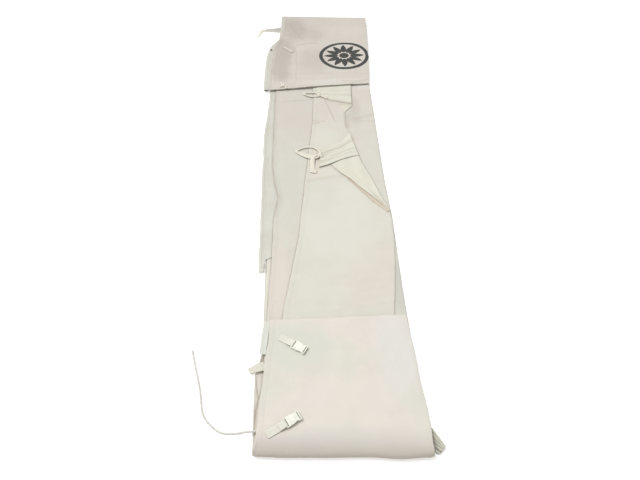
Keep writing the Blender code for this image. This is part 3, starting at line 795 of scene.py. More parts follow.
def folded_end(name, end, left, right, body, inset=0.0, left_offsets=None, hem_width=None):
    """The cloth round a fold and its flap, as one sheet that turns round the fold from the root onto the
    flap.
    """
    hem = end["slot"] == "canvas"
    fold, radius = end["fold"], end["radius"]
    angle = np.linspace(0, math.pi, 26)
    left_line = np.vstack([fold_point(fold, fold["left"] + end["taper"], 0.0), np.array(left)])
    right_line = np.vstack([fold_point(fold, fold["right"], 0.0), np.array(right)])
    length = run_along(left_line)[-1]
    shares = y_stations(0.0, length, hem_end=hem)[1:] / length
    flap_left, flap_right = polyline_at(left_line, shares), polyline_at(right_line, shares)
    across = unit(flap_right - flap_left)
    wobble = (0.0011 * ripples(
        shares * length, 0 * shares, len(name) + 5, 0.13,
    ) * smooth(shares * 6))[:, None]
    pull = end["pull"] * bell(shares * length - 0.02, 0.035)[:, None]
    flap_left = flap_left + across * (inset + wobble)
    flap_right = flap_right - across * (inset + wobble * 0.7 + pull)
    eased = smooth(angle / math.pi)
    wrap_left, wrap_right = (
        np.array([fold_point(fold, x, -radius * math.sin(a)) for x, a in zip(edge, angle)])
        for edge in (fold["left"] + inset + end["taper"] * eased, fold["right"] - inset - end["pull"] * eased)
    )
    sheet = Sheet(
        np.vstack([wrap_left, flap_left]), np.vstack([
            wrap_right, flap_right,
        ]), "hem" if hem else "plain", "fold",
        left_offsets=left_offsets,
    )
    turns = np.concatenate([angle, np.full(len(shares), math.pi)])[:, None]
    on_wrap = turns < math.pi - 1e-6
    inward = fold_distance(fold, sheet.x, sheet.y)
    sheet.z = np.where(on_wrap, FOLD_RADIUS - radius * np.cos(turns), flap_height(end, sheet.x, sheet.y))
    puff = 0.0012 * ripples(sheet.x, 0 * sheet.x, len(name), 0.16) * np.sin(turns) * (radius / FOLD_RADIUS)
    corners = bell(sheet.from_right, 0.007) + bell(sheet.from_left, 0.007)
    sheet.y += fold["inward"] * (0.17 * radius * corners * np.sin(turns) - puff)
    soft_edge = np.where(on_wrap, 0.0, smooth(inward / 0.03))
    if hem:
        width = HEM_WIDTH if hem_width is None else hem_width(sheet.y)
        sheet.z += soft_edge * hem_height(sheet.from_left, width)
        sheet.z += soft_edge * hem_height(sheet.to_end, HEM_WIDTH * 1.1)
    sheet.z += soft_edge * fold_drop(sheet.from_right, 0.006, 0.0016)
    sheet.z -= soft_edge * end["droop"](sheet.x) * smooth((0.026 - sheet.to_end) / 0.024)
    sheet.darken(*end["dark"])
    # Painted shade: the cloth darkens towards the fold and round it, where it turns from the light, and along
    # the wrap's turned left edge
    fading = np.exp(-((np.clip(inward, 0, None) / 0.028) ** 1.2)) + 0.2 * bell(inward, 0.060)
    past_turn = end["turn_shade"] * fading
    on_turn = 1.2 * end["turn_shade"] + 0.30 * smooth((0.040 - sheet.z) / 0.025)
    sheet.shade = np.maximum(sheet.shade, np.where(on_wrap, on_turn, past_turn))
    turned_edge = bell(sheet.from_left - 0.0060, 0.0040) * smooth((0.035 - inward) / 0.03)
    sheet.shade = np.maximum(sheet.shade, 1.6 * end["turn_shade"] * turned_edge)
    uv = sheet.uv()
    uv[..., 1] = np.where(on_wrap, fold["y"] - fold["inward"] * (math.pi - turns) * radius, sheet.y)
    obj = grid_object(name, sheet.points(), uv, up=fold["inward"] > 0, shade=sheet.shade)
    piece(obj, end["material"], None, end["nodes"])
    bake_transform(obj)
    if hem:
        end_stitches(name, fold, sheet, body)


def far_emboss(x, y):
    """The edge of the plies beneath shows through the far flap as a low step with a rounded corner."""
    corner = smooth((x + 0.149 + 0.004 * ripples(y, 0 * y, 3, 0.2)) / 0.012)
    ridge = smooth((1.056 - 0.10 * np.exp(-((x + 0.149) / 0.035)) * (x > -0.16) - y) / 0.016)
    return 0.0016 * corner * ridge


FAR_RIDGE = mm((-166, 1027), (-139, 1046), (-89, 1059), (-8, 1061))
FAR_CROSSING = mm((-276, 735), (-127, 724), (105, 721), (267, 709))
FAR_PINCH = mm((-182, 676), (-165, 705))
FAR_LINES = (
    (FAR_CROSSING, 0.006, -0.0007),
    (FAR_PINCH, 0.006, 0.0012),
    (mm((-149, 860), (-150, 760), (-149, 650)), 0.006, -0.0012),
    (FAR_RIDGE, 0.008, -0.0010),
    (mm((-225, 1150), (-150, 1180), (-60, 1120)), 0.030, -0.0012),
    (mm((-200, 1300), (-120, 1250)), 0.025, 0.0012),
    (mm((190, 1150), (298, 1080)), 0.020, 0.0010),
    (mm((-260, 800), (-240, 640)), 0.012, 0.0010),
)
NEAR_LINES = (
    (mm((-200, -1215), (50, -1235), (280, -1225)), 0.030, -0.0008),
    (mm((100, -900), (160, -1050), (240, -1160)), 0.030, 0.0007),
    (mm((-50, -1100), (60, -1140)), 0.025, -0.0006),
    (mm((262, -990), (268, -1200)), 0.006, 0.0007),
)


def far_hem_width(y):
    return 0.004 + 0.026 * smooth((y - 1.00) / 0.10)


CLOTH_UNDER = 0.0018    # a CAD ply's underside to its top


def far_droop(x):
    """The far flap's hem sinks towards the pile, more where no tie lies beneath it."""
    return 0.0024 + 0.0034 * smooth((x - 0.158) / 0.05) + 0.0012 * smooth((-0.06 - x) / 0.05)


def near_droop(x):
    """The near flap's hem sinks evenly."""
    return 0.0030 + 0 * x


# Painted shade on the far flap: along its creases and ridges, and along the edges of the hems and plies at
# its left side
FAR_DARK = (
    (FAR_RIDGE, 0.004, 0.32),
    (mm((-163, 1020), (-147, 955), (-150, 870), (-143, 800), (-152, 740), (-147, 660)), 0.0035, 0.30),
    (FAR_CROSSING, 0.004, 0.12),
    (mm((-215, 1370), (-222, 1250), (-230, 1150), (-258, 1030), (-272, 900)), 0.004, 0.26),
    (mm((-236, 1340), (-240, 1200), (-250, 1110), (-276, 1010)), 0.0028, 0.22),
    (mm((-272, 900), (-278, 780), (-270, 660)), 0.006, 0.20),
    (mm((-246, 1137), (-268, 1045), (-283, 965), (-289, 860), (-292, 700), (-293, 600)), 0.0024, 0.34),
    (mm((-190, 1290), (-150, 1190), (-110, 1110)), 0.008, 0.16),
    (mm((-170, 1240), (-90, 1230)), 0.008, 0.12),
    (mm((120, 640), (200, 636), (266, 655)), 0.010, 0.20),
    (FAR_PINCH, 0.004, 0.18),
)


def flap_plies(side, fold, material, lines=(), emboss=None, dark=(), **shared):
    """What shapes a folded end: its outer cloth, then its lining."""
    plies = []
    for layer, part, radius in (("flap", "outer", FOLD_RADIUS), ("flap_lining", "lining", LINING_RADIUS)):
        outer = part == "outer"
        plies.append({
            "fold": fold, "radius": radius, "swell": SWELL[layer],
            "top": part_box(f"{side}_flap_{part}")[0].z + CLOTH_UNDER,
            "nodes": [f"{side}_flap_{part}", f"{side}_fold_{part}"],
            "material": material if outer else lining_cloth, "slot": "canvas" if outer else "lining",
            "lines": lines if outer else (), "dark": dark if outer else (),
            "emboss": emboss if outer else None,
            **shared,
        })
    return plies


FAR_OUTER, FAR_INNER = flap_plies(
    "far", FAR, canvas_far, FAR_LINES, far_emboss, FAR_DARK,
    droop=far_droop, pull=0.0, taper=0.0, turn_shade=0.04,
)
NEAR_OUTER, NEAR_INNER = flap_plies(
    "near", NEAR, canvas_near, NEAR_LINES, droop=near_droop, pull=0.005, taper=0.011, turn_shade=0.34,
)


def folded_ends():
    band = np.concatenate([np.arange(0, 0.040, 0.0024), [0.044]])
    inset = 0.004
    folded_end("near_end_cloth", NEAR_OUTER, NEAR_FLAP_LEFT, NEAR_FLAP_RIGHT, "near_flap")
    folded_end("near_end_lining", NEAR_INNER, NEAR_LINING_LEFT, NEAR_FLAP_RIGHT, "near_flap", inset)
    folded_end(
        "far_end_cloth", FAR_OUTER, FAR_FLAP_LEFT, FAR_FLAP_RIGHT, "far_flap", 0.0, band, far_hem_width,
    )
    folded_end("far_end_lining", FAR_INNER, FAR_FLAP_LEFT, FAR_FLAP_RIGHT, "far_flap", inset)


# ---------------------------------------------------------------- tapes, ties and cord

def spread(values, count):
    """One value, or several spaced evenly, spread over a number of samples."""
    values = np.atleast_1d(values)
    return np.interp(np.linspace(0, 1, count), np.linspace(0, 1, len(values)), values)


def ribbon(name, path, width, bank=0.0, side=None, step=0.003, curl=0.0006, closed=False):
    """A tape along a path of (x, y, z). Its width and its bank, the degrees that it tips, run along it."""
    line = spline(path, step)
    if closed:
        line[-1] = line[0]
    tangent = unit(np.gradient(line, axis=0))
    if side is None:
        flat = unit(np.cross([0, 0, 1.0], tangent))
    else:
        flat = np.zeros_like(line) + unit(np.array(side))
    upward = np.cross(tangent, flat)
    widths = spread(width, len(line))[:, None]
    angle = np.radians(spread(bank, len(line)))[:, None]
    sideways = flat * np.cos(angle) + upward * np.sin(angle)
    lift = upward * np.cos(angle) - flat * np.sin(angle)
    across = np.linspace(-0.5, 0.5, 9)
    bow = curl * (1 - 4 * across**2)
    points = line[:, None] + sideways[:, None] * (across * widths)[..., None] + lift[:, None] * bow[
        None, :, None,
    ]
    run = run_along(line)
    uv = np.stack(np.broadcast_arrays(across * widths, run[:, None]), axis=-1)
    return grid_object(name, points, uv, thickness=0.0008, offset=0.0)


def join(name, objects):
    """Applies the modifiers of several objects and makes them one."""
    graph = bpy.context.evaluated_depsgraph_get()
    joined = bmesh.new()
    for obj in objects:
        mesh = bpy.data.meshes.new_from_object(obj.evaluated_get(graph))
        mesh.transform(obj.matrix_world)
        joined.from_mesh(mesh)
        bpy.data.meshes.remove(mesh)
        bpy.data.objects.remove(obj)
    mesh = bpy.data.meshes.new(name)
    joined.to_mesh(mesh)
    joined.free()
    mesh.shade_smooth()
    return link(bpy.data.objects.new(name, mesh))


def knot(name, centre, along, size, width):
    """Two crossed turns of tape drawn tight round a gathered neck of cloth."""
    along = unit(np.array([*along, 0.0]))
    over = np.array([-along[1], along[0], 0.0])
    turns = []
    for index, (slant, shift) in enumerate(((0.5, -0.3), (-0.55, 0.3), (0.1, 0.9))):
        angle = np.linspace(0, 2 * math.pi, 13)[:, None]
        path = centre + over * size * np.cos(angle) + np.array([0, 0, size * 0.42]) * np.sin(angle)
        path = path + along * (shift * width * 0.6 + slant * size * np.cos(angle))
        turns.append(ribbon(f"{name}_turn_{index}", path, width, side=along, step=0.002, closed=True))
    return join(name, turns)


def loft(name, start_edge, end_edge, columns, rows, height, shade=None, up=True):
    """Cloth between two edges. Height gives z from (u along, v from start edge to end edge, x, y)."""
    u = np.linspace(0, 1, columns)
    v = np.linspace(0, 1, rows)
    a, b = polyline_at(start_edge, u), polyline_at(end_edge, u)
    flat = a[None] * (1 - v)[:, None, None] + b[None] * v[:, None, None]
    x, y = flat[..., 0], flat[..., 1]
    u_grid, v_grid = np.broadcast_arrays(u[None, :], v[:, None])
    z = height(u_grid, v_grid, x, y)
    points = np.stack([x, y, z], axis=-1)
    tint = None if shade is None else shade(u_grid, v_grid)
    return grid_object(name, points, np.stack([x, y], axis=-1), up=up, shade=tint)


def upper_tie():
    level = top_of("upper_tie_tab")
    neck = (-0.032, 0.522)

    def height(u, v, x, y):
        reach = np.hypot(x - neck[0], y - neck[1])
        angle = np.arctan2(y - neck[1], x - neck[0])
        pleats = 0.0018 * np.cos(angle * 9 + 1.2) * np.exp(-reach / 0.075) * smooth((0.590 - y) / 0.03)
        rounded = fold_drop(v * 0.15, 0.005, 0.0018)
        return level + SWELL["tab"] * swell(x, y) + pleats + rounded + 0.0012 * np.exp(-reach / 0.02)

    def shade(u, v):
        low = 0.45 * bell(v, 0.06) + 0.20 * bell(1 - u, 0.03)
        return low + 0.26 * bell(v - 0.30 - 0.1 * u, 0.035) + 0.16 * bell(v - 0.55 - 0.1 * u, 0.03)

    bottom = mm((-38, 532), (-14, 512), (42, 478), (97, 459), (157, 439))
    top = mm((-40, 610), (60, 628), (166, 640))
    tab = loft("upper_tie_tab_cloth", bottom, top, 60, 44, height, shade)
    piece(tab, cream_cloth, "root", ["upper_tie_tab"])
    low = level - 0.0004
    path = raised(
        low, (-22, 524, 3), (-42, 543, 3.4), (-74, 550, 3), (-106, 547, 2.4), (-98, 533, 1.8),
        (-66, 515, 1.8), (-26, 514, 2.8),
    )
    loop = ribbon(
        "upper_loop", path, (0.008, 0.008, 0.011, 0.010, 0.010), (-6, -6, -4, 0, 0, 4, 8), curl=0.0009,
    )
    wraps = knot("upper_knot", (-0.024, 0.524, level + 0.0022), (1.0, -0.5), 0.011, 0.008)
    end = ribbon(
        "upper_end", raised(level, (-18, 522, 4), (6, 505, 3), (22, 494, 1.5)),
        0.011, (10, 25),
    )
    bundle = join("upper_tie_cloth", [loop, wraps, end])
    piece(bundle, tape, None, ["upper_tie_tape"])
    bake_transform(bundle)


def lower_tie():
    level = top_of("lower_tie_tab")

    def tab_height(u, v, x, y):
        gather = 0.35 + 0.65 * np.exp(-u / 0.45)
        wander = 0.5 * ripples(u, 0 * u, 21, 0.6)
        pleats = 0.0034 * gather * np.cos(2 * math.pi * 2.4 * v + 0.6 + wander)
        fine = 0.0013 * gather * np.cos(2 * math.pi * 6.5 * v + 3 * u)
        rounded = fold_drop(v * 0.13, 0.005, 0.0022) + fold_drop((1 - v) * 0.13, 0.006, 0.0026)
        settled = 0.0014 + SWELL["tab"] * swell(x, y)
        return level + settled + pleats + fine + rounded

    def tab_shade(u, v):
        valley = bell(v - 0.64 - 0.06 * u, 0.09) * (1 - 0.5 * u)
        crease = bell(v - 0.42 + 0.10 * u, 0.03) * (1 - 0.4 * u)
        low = bell(v, 0.045)
        thin = bell(v - 0.20 + 0.04 * u, 0.018) + bell(v - 0.52 - 0.02 * u, 0.016) * (u < 0.7)
        # warm is painted shade, a tan one by the tab's rolled upper edge towards the knot
        warm = smooth((v - 0.72) / 0.2) * smooth((0.50 - u) / 0.4)
        return 0.18 * valley + 0.22 * crease + 0.10 * low + 0.26 * thin + 0.22 * warm

    lower_edge = mm((-42, -58), (16, -39), (70, -10), (126, 14), (163, 16))
    upper_edge = mm((-26, 72), (20, 95), (73, 121), (104, 160), (128, 196))
    tab = loft("lower_tie_tab_cloth", lower_edge, upper_edge, 64, 50, tab_height, tab_shade)
    piece(tab, cream_cloth, "turned_corner", ["lower_tie_tab"])

    corner_level = top_of("turned_back_corner")

    def corner_height(u, v, x, y):
        free = 1 - smooth(v / 0.55)
        lift = 0.0050 * free * smooth((u - 0.30) / 0.25) * smooth((1.0 - u) / 0.12)
        wave = 0.0009 * np.cos(2 * math.pi * (1.5 * v + 2.2 * u)) * smooth((1 - u) / 0.3)
        rounded = fold_drop((1 - v) * 0.10 * (1.05 - u), 0.006, 0.0018)
        return corner_level + SWELL["tab"] * swell(x, y) + lift + wave + rounded

    free_edge = mm((62, 64), (20, -36), (61, -95), (101, -138), (148, -199), (198, -258), (268, -350))
    fold_edge = mm((130, 170), (158, 43), (168, -16), (209, -142), (240, -253), (270.5, -353))

    def corner_shade(u, v):
        return 0.16 * bell(v, 0.03) + 0.10 * bell(v - 0.35, 0.03) * smooth((u - 0.3) / 0.2)

    corner = loft("turned_corner_cloth", free_edge, fold_edge, 90, 40, corner_height, corner_shade)
    piece(corner, cream_cloth, "turned_corner", ["turned_back_corner"])

    def under_height(u, v, x, y):
        return corner_level - 0.0012 + SWELL["tab"] * swell(x, y) + 0.0036 * v * smooth((1 - u) / 0.15)

    # A hem layer that peeks out under the turned corner's free edge; its shaded_cloth colour is painted shade
    outer = mm((74, -108), (103, -150), (147, -214), (192, -281), (262, -360))
    inner = mm((90, -100), (120, -130), (160, -185), (210, -245), (268, -345))
    under = loft("turned_corner_hem", outer, inner, 60, 8, under_height)
    piece(under, shaded_cloth, "turned_corner")

    path = raised(
        level, (-26, 36, 4.6), (-44, 68, 4), (-72, 86, 2.2), (-110, 88, -0.6), (-146, 66, -2.4),
        (-132, 50, -2.6), (-104, 32, -1.8), (-74, 16, 1.2), (-40, 14, 4.6),
    )
    loop = ribbon(
        "lower_loop", path, (
            0.011, 0.009, 0.008, 0.009, 0.013, 0.026, 0.029, 0.026,
        ), (-8, -8, -6, -4, 0, 3, 3, 3, 6), curl=0.0012,
    )
    wraps = knot("lower_knot", (-0.034, 0.024, level + 0.0026), (1.0, 0.25), 0.016, 0.011)
    bundle = join("lower_loop_tape", [loop, wraps])
    piece(bundle, tape, None, ["lower_tie_loop"])
    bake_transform(bundle)
    path = raised(level, (-46, 26, 6.2), (-64, 10, 5.6), (-70.5, -16, 2.2), (-70, -50, -1.4), (-68, -86, -3))
    tail = ribbon("lower_tail", path, (0.016, 0.020, 0.021), (14, 8, 4, 6, -4))
    beside = [(x + 0.008 - 0.001 * i, y + 0.001, z - 0.0011) for i, (x, y, z) in enumerate(path)]
    beside[-1] = (-0.0560, -0.0880, level - 0.0038)
    second = ribbon("lower_tail_second", beside, (0.014, 0.018, 0.019), (-10, -6, -5, -4, 4))
    path = raised(level, (-83, -81, -2.6), (-70, -88, -1.6), (-50, -93, -3))
    turned = ribbon("lower_tail_end", path, (0.008, 0.011, 0.009), (10, -10, 12))
    piece(
        join("lower_tail_tape", [tail, second, turned]), tape, "lower_tie", ["lower_tie_tail"],
    )


def side_tapes():
    root_edge, tip_edge = mm((-242, 1230), (-242, 1306)), mm((-366, 1252), (-370, 1279))

    def height(u, v, x, y):
        pleats = 0.0016 * np.cos(2 * math.pi * 2.2 * u + 0.8) * smooth(v / 0.3)
        return 0.0036 + pleats + 0.0012 * smooth((v - 0.3) / 0.7)

    def shade(u, v):
        return 0.30 * bell(u - 0.55, 0.16) * smooth(v / 0.2) + 0.10 * (1 - v)

    tab = loft("side_tie_tab", root_edge, tip_edge, 26, 34, height, shade, up=False)
    path = mm(
        (-345, 1266, 5.6), (-362, 1265, 5.6), (-374, 1257, 5), (-382, 1238, 4.4), (-391, 1208, 4),
        (-400, 1168, 3.6),
    )
    tie = ribbon("side_tie_end", path, (0.022, 0.024, 0.016, 0.010, 0.007), (0, 0, 8, 12, 10, 8))
    piece(tab, canvas_band, "side_tie")
    piece(tie, tape, "side_tie", ["side_tie_tape"])
    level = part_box("side_loop_tape")[0].z
    path = raised(
        level, (-250, -1060, 3.4), (-272, -1063, 3.6), (-298, -1073, 3), (-310, -1078, 1.8),
        (-302, -1076, 0.6), (-280, -1070, 0.3), (-250, -1064, 0.3),
    )
    loop = ribbon("side_loop", path, (0.037, 0.034, 0.025, 0.023, 0.022, 0.022), side=(-0.48, 0.88, 0.0))
    piece(loop, cream_cloth, None, ["side_loop_tape"])
    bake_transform(loop)
    stitch = [(-0.264, y, level + 0.0044) for y in np.linspace(-1.050, -1.072, 8)]
    piece(stitch_row("side_loop_stitches", stitch), thread, "root")


def tube(name, path, radius, sides=8):
    """A closed round strand along a path of points."""
    path = np.array(path, float)
    tangent = unit(np.gradient(path, axis=0))
    first = unit(np.cross(tangent, [0.01, 0.02, 1.0]))
    second = np.cross(tangent, first)
    angle = np.linspace(0, 2 * math.pi, sides, endpoint=False)
    ring = first[:, None] * np.cos(angle)[None, :, None] + second[:, None] * np.sin(angle)[None, :, None]
    radius = np.broadcast_to(np.asarray(radius, float), (len(path),))
    verts = (path[:, None] + ring * radius[:, None, None]).reshape(-1, 3)
    faces = []
    for i in range(len(path) - 1):
        for j in range(sides):
            a, b = i * sides + j, i * sides + (j + 1) % sides
            faces.append((a, b, b + sides, a + sides))
    faces.append(tuple(range(sides))[::-1])
    faces.append(tuple(range((len(path) - 1) * sides, len(path) * sides)))
    return mesh_from(name, verts, faces)


def drawcord():
    path = spline(
        mm(
            (-190, -1282.5, 16.8), (-245, -1282.5, 16.8), (-288, -1282.5, 16.6), (-310, -1282.5, 13),
            (-334, -1284, 6.8), (-360, -1284, 4.4), (-388, -1280, 4.4), (-407, -1270, 4.4),
            (-423, -1257, 4.4), (-441, -1239, 4.4), (-454, -1218, 4.4), (-462, -1195, 4.4),
            (-467, -1170, 4.4), (-480, -1117, 4.4), (-504, -1043, 4.4), (-517, -1000, 4.4),
        ),
        0.0015,
    )
    run = run_along(path)
    tangent = unit(np.gradient(path, axis=0))
    first = np.cross(tangent, [0, 0, 1.0])
    second = np.cross(tangent, first)
    strands = []
    for index in range(3):
        angle = run * 2 * math.pi / 0.016 + index * 2 * math.pi / 3
        centre = path + 0.0019 * (first * np.cos(angle)[:, None] + second * np.sin(angle)[:, None])
        strands.append(tube(f"strand_{index}", centre, 0.0021))
    piece(join("drawcord_strands", strands), cord_fibre, "cord", ["drawcord"])
    begin = path[-1]
    along = unit(path[-1] - path[-3])
    share = np.linspace(0, 1, 40)
    rings = 0.0044 + 0.0004 * np.abs(np.sin(share * math.pi * 9))
    rings[0] = rings[-1] = 0.0032
    whipping = tube("tip_whipping", begin + np.outer(0.0005 + 0.0115 * share, along), rings, 20)
    tuft = []
    for i in range(7):
        drift = along * 0.006 + (0.0016 * math.cos(i), 0.0016 * math.sin(i), 0.0006 * (i % 3))
        fibre = begin + along * 0.011 + np.linspace(0, 1, 5)[:, None] * drift
        tuft.append(tube(f"tuft_{i}", fibre, np.linspace(0.0011, 0.0003, 5), 6))
    piece(join("drawcord_end", [whipping, *tuft]), cord_fibre, "cord", ["drawcord_tip"])


# ---------------------------------------------------------------- trim of the flaps and ends

def gathered_end():
    """Cloth of the casing drawn up into a pleated tail that sticks out at the near right corner."""
    right = mm((276, -1266), (294, -1284), (305, -1298), (315, -1315), (325, -1333), (330.5, -1348))
    left = mm((264, -1328), (274, -1342), (286, -1354), (298, -1363), (311, -1369.5))
    u, v = np.linspace(0, 1, 120)[:, None], np.linspace(0, 1, 40)[None, :]
    a, b = polyline_at(right, v[0]), polyline_at(left, v[0])
    sheets = []
    layers = ((0.0175, 0.0062, 6.0, 0.0), (0.0088, 0.0040, 4.7, 0.005))
    for index, (middle, size, count, narrow) in enumerate(layers):
        flat = a[None] * (1 - u[..., None]) + b[None] * u[..., None]
        wander = 0.22 * np.sin(4 * v + 5 * u + index)
        turn = 2 * math.pi * (count * u**0.62 + wander)
        wave = 1.2 - 2.0 * np.abs(np.sin(turn / 2)) ** 1.3 + 0.15 * np.cos(3 * turn)
        rim = 1 - (2 * u - 1) ** 4
        z = 0.0025 + (middle - 0.0025 - 0.0045 * v**2) * rim**0.5 + size * wave * rim * (0.55 + 0.45 * v)
        shift = 0.0022 * np.sin(turn + 0.8) * rim * v
        x = flat[..., 0] - narrow * v + shift * 0.8
        points = np.stack([x, flat[..., 1] + shift * 0.6, np.maximum(z, 0.0014)], axis=-1)
        shade = 0.80 * smooth((0.35 - wave) / 0.9) + 0.30 * smooth((v - 0.86) / 0.14) + 0.20 * (u < 0.05)
        uv = np.stack(np.broadcast_arrays(u * 0.08, v * 0.11), axis=-1)
        sheets.append(grid_object(f"pleats_{index}", points, uv, shade=shade + 0 * z, up=False))
    piece(join("gathered_end_cloth", sheets), gather_cloth, "root", ["gathered_end"])


def rolled_edge(name, left, right, low, heights, turns, body, nodes, material, step=0.006):
    """An edge rolled up on itself: a flattened spiral of cloth between two outlines."""
    length = run_along(left)[-1]
    shares = np.linspace(0, 1, max(6, int(length / step)))
    a, b = polyline_at(left, shares), polyline_at(right, shares)
    centre, half = (a + b) / 2, np.linalg.norm(b - a, axis=1) / 2
    across = (b - a) / (2 * half)[:, None]
    tall = spread(heights, len(shares)) / 2
    angle = np.linspace(0, 2 * math.pi * turns, int(44 * turns))
    shrink = 1 - 0.62 * angle / angle[-1]
    bumps = 1 + 0.045 * np.sin(angle * 5 + 0.7)
    c, s = np.cos(angle + 5.6), np.sin(angle + 5.6)
    box_c, box_s = np.sign(c) * np.abs(c) ** 0.9, np.sign(s) * np.abs(s) ** 0.8
    sideways = half[:, None] * (shrink * bumps * box_c)[None, :]
    vertical = low + tall[:, None] * (1 + (shrink * bumps * box_s)[None, :])
    x = centre[:, 0][:, None] + across[:, 0][:, None] * sideways
    y = centre[:, 1][:, None] + across[:, 1][:, None] * sideways
    run = shares * length
    vertical = vertical + 0.0004 * ripples(run[:, None] + 0 * x, angle[None, :] * 0.02 + 0 * x, 31, 0.05)
    points = np.stack([x, y, vertical], axis=-1)
    uv = uv_grid(angle * 0.008, run)
    # Painted shade inside the roll and along the grooves between its turns
    inside = smooth((angle[None, :] - 5.5) / 3) * 0.5 + 0 * x
    grooves = 0.20 * bell(np.sin(angle * 2.5 + 0.85), 0.22)[None, :] + 0 * x
    obj = grid_object(name, points, uv, thickness=0.0008, offset=0.0, shade=np.maximum(inside, grooves))
    piece(obj, material, body, nodes)


def strap(name, at, direction, length, width, surface, material, body, nodes):
    """A sewn strap end that lies on a surface given as a height function."""
    turn = math.radians(direction)
    along, across = np.array([math.cos(turn), math.sin(turn)]), np.array([-math.sin(turn), math.cos(turn)])
    run, side = np.linspace(0, length, 40), np.linspace(-0.5, 0.5, 9) * width
    flat = np.array(at)[None, None] + along * run[:, None, None] + across * side[None, :, None]
    x, y = flat[..., 0], flat[..., 1]
    rise = 0.0016 + 0.0008 * bell(run - 0.010, 0.006)[:, None] - 0.0006 * (2 * side / width)[None, :] ** 2
    points = np.stack([x, y, surface(x, y) + rise], axis=-1)
    uv = uv_grid(side, run)
    # Painted shade along the strap's two sides
    edge = 0.25 * smooth((np.abs(2 * side / width)[None, :] - 0.8) / 0.2) + 0 * x
    obj = grid_object(name, points, uv, thickness=0.0012, up=True, shade=edge)
    piece(obj, material, body, nodes)


def far_trim():
    def surface(x, y):
        return flap_height(FAR_OUTER, x, y)

    left = mm(
        (-262, 1112), (-285, 1085), (-312, 1035), (-328, 960), (-334, 880), (-336.5, 790), (-338, 640),
        (-336, 590), (-331, 575),
    )
    right = mm(
        (-252, 1110), (-266, 1072), (-282, 1014), (-290, 955), (-294, 880), (-296.5, 790), (-298, 640),
        (-299, 590), (-303, 574),
    )
    rolled_edge(
        "far_rolled_hem_cloth", left, right, 0.0104, (
            0.0135, 0.0140, 0.0140, 0.0142, 0.0145, 0.0142,
        ), 2.4,
        "far_flap", ["far_flap_rolled_hem"], canvas_band,
    )
    strap(
        "far_strap_end", (-0.226, 1.019), -47.0, 0.082, 0.022, surface, canvas_far, "far_flap",
        ["far_flap_webbing_stub"],
    )
    height = float(surface(np.array(-0.227), np.array(0.612))) + 0.0016
    loops = [
        ribbon(
            "hem_knot_a", raised(height, (-237, 646, 0), (-230, 622, 1.6), (-232, 600, 0)), 0.010, (6, 12, 5),
        ),
        ribbon(
            "hem_knot_b", raised(height, (-222, 642, 0), (-216, 616, 2.6), (-203, 586, 0)), 0.011,
            (-8, 6, 10),
        ),
        ribbon(
            "hem_knot_c", raised(height, (-240, 604, 0), (-222, 608, 3), (-200, 612, 0)), 0.010, (5, 10, 5),
        ),
        knot("hem_knot_turns", (-0.222, 0.612, height + 0.0018), (1.0, -0.3), 0.0095, 0.008),
    ]
    piece(join("far_hem_knot", loops), tape, "far_flap", ["far_flap_hem_knot"])
    eyelet_ring()
    emblem(surface)


def eyelet_ring():
    low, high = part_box("band_eyelet")
    centre = (low + high) / 2
    profile = mm((3.4, -1.2), (3.2, 0.4), (3.8, 1.4), (5, 1.6), (6, 0.8), (6.3, -0.4), (6, -1.2))
    verts, faces = [], []
    for i in range(40):
        angle = 2 * math.pi * i / 40
        verts += [(
            centre.x + r * math.cos(angle), centre.y + r * math.sin(angle), centre.z + z,
        ) for r, z in profile]
    count = len(profile)
    for i in range(40):
        for j in range(count):
            a, b = i * count + j, i * count + (j + 1) % count
            c, d = ((i + 1) % 40) * count + (j + 1) % count, ((i + 1) % 40) * count + j
            faces.append((a, d, c, b))
    piece(mesh_from("band_eyelet_ring", verts, faces), aged_brass, "far_flap", ["band_eyelet"])


def emblem(surface):
    """A plain printed rosette: a disc, twelve petals and a ring, cut off where the cloth folds away."""
    centre, size = (0.139, 0.907), 0.150

    def polar(r, a):
        return np.stack([r * np.cos(a), r * np.sin(a)], axis=-1) * size

    grids = [
        polar(*np.meshgrid(np.linspace(0.86, 1.0, 6), np.linspace(0, 2 * math.pi, 181))),
        polar(*np.meshgrid(np.linspace(0.004, 0.19, 8), np.linspace(0, 2 * math.pi, 61))),
    ]
    share = np.linspace(0, 1, 20)[:, None]
    reach = 0.24 + 0.56 * share
    half = (0.112 * np.sin(math.pi * share**0.75) ** 0.8 + 0.004) * np.linspace(-1, 1, 9)
    for index in range(12):
        grids.append(polar(np.hypot(reach, half), 2 * math.pi * index / 12 + np.arctan2(half, reach)))
    objects = []
    for index, grid in enumerate(grids):
        x, y = grid[..., 0] + centre[0], grid[..., 1] + centre[1]
        points = np.stack([x, y, surface(x, y) + 0.0006], axis=-1)
        objects.append(grid_object(f"mark_{index}", points, grid.copy(), thickness=0.0003, up=False))
    mark = join("emblem_mark", objects)
    bm = bmesh.new()
    bm.from_mesh(mark.data)
    everything = bm.verts[:] + bm.edges[:] + bm.faces[:]
    bmesh.ops.bisect_plane(
        bm, geom=everything, plane_co=(0.2858, 0.907, 0), plane_no=(1, 0.055, 0), clear_outer=True,
    )
    bm.to_mesh(mark.data)
    bm.free()
    piece(mark, print_ink, "far_flap", ["emblem"])


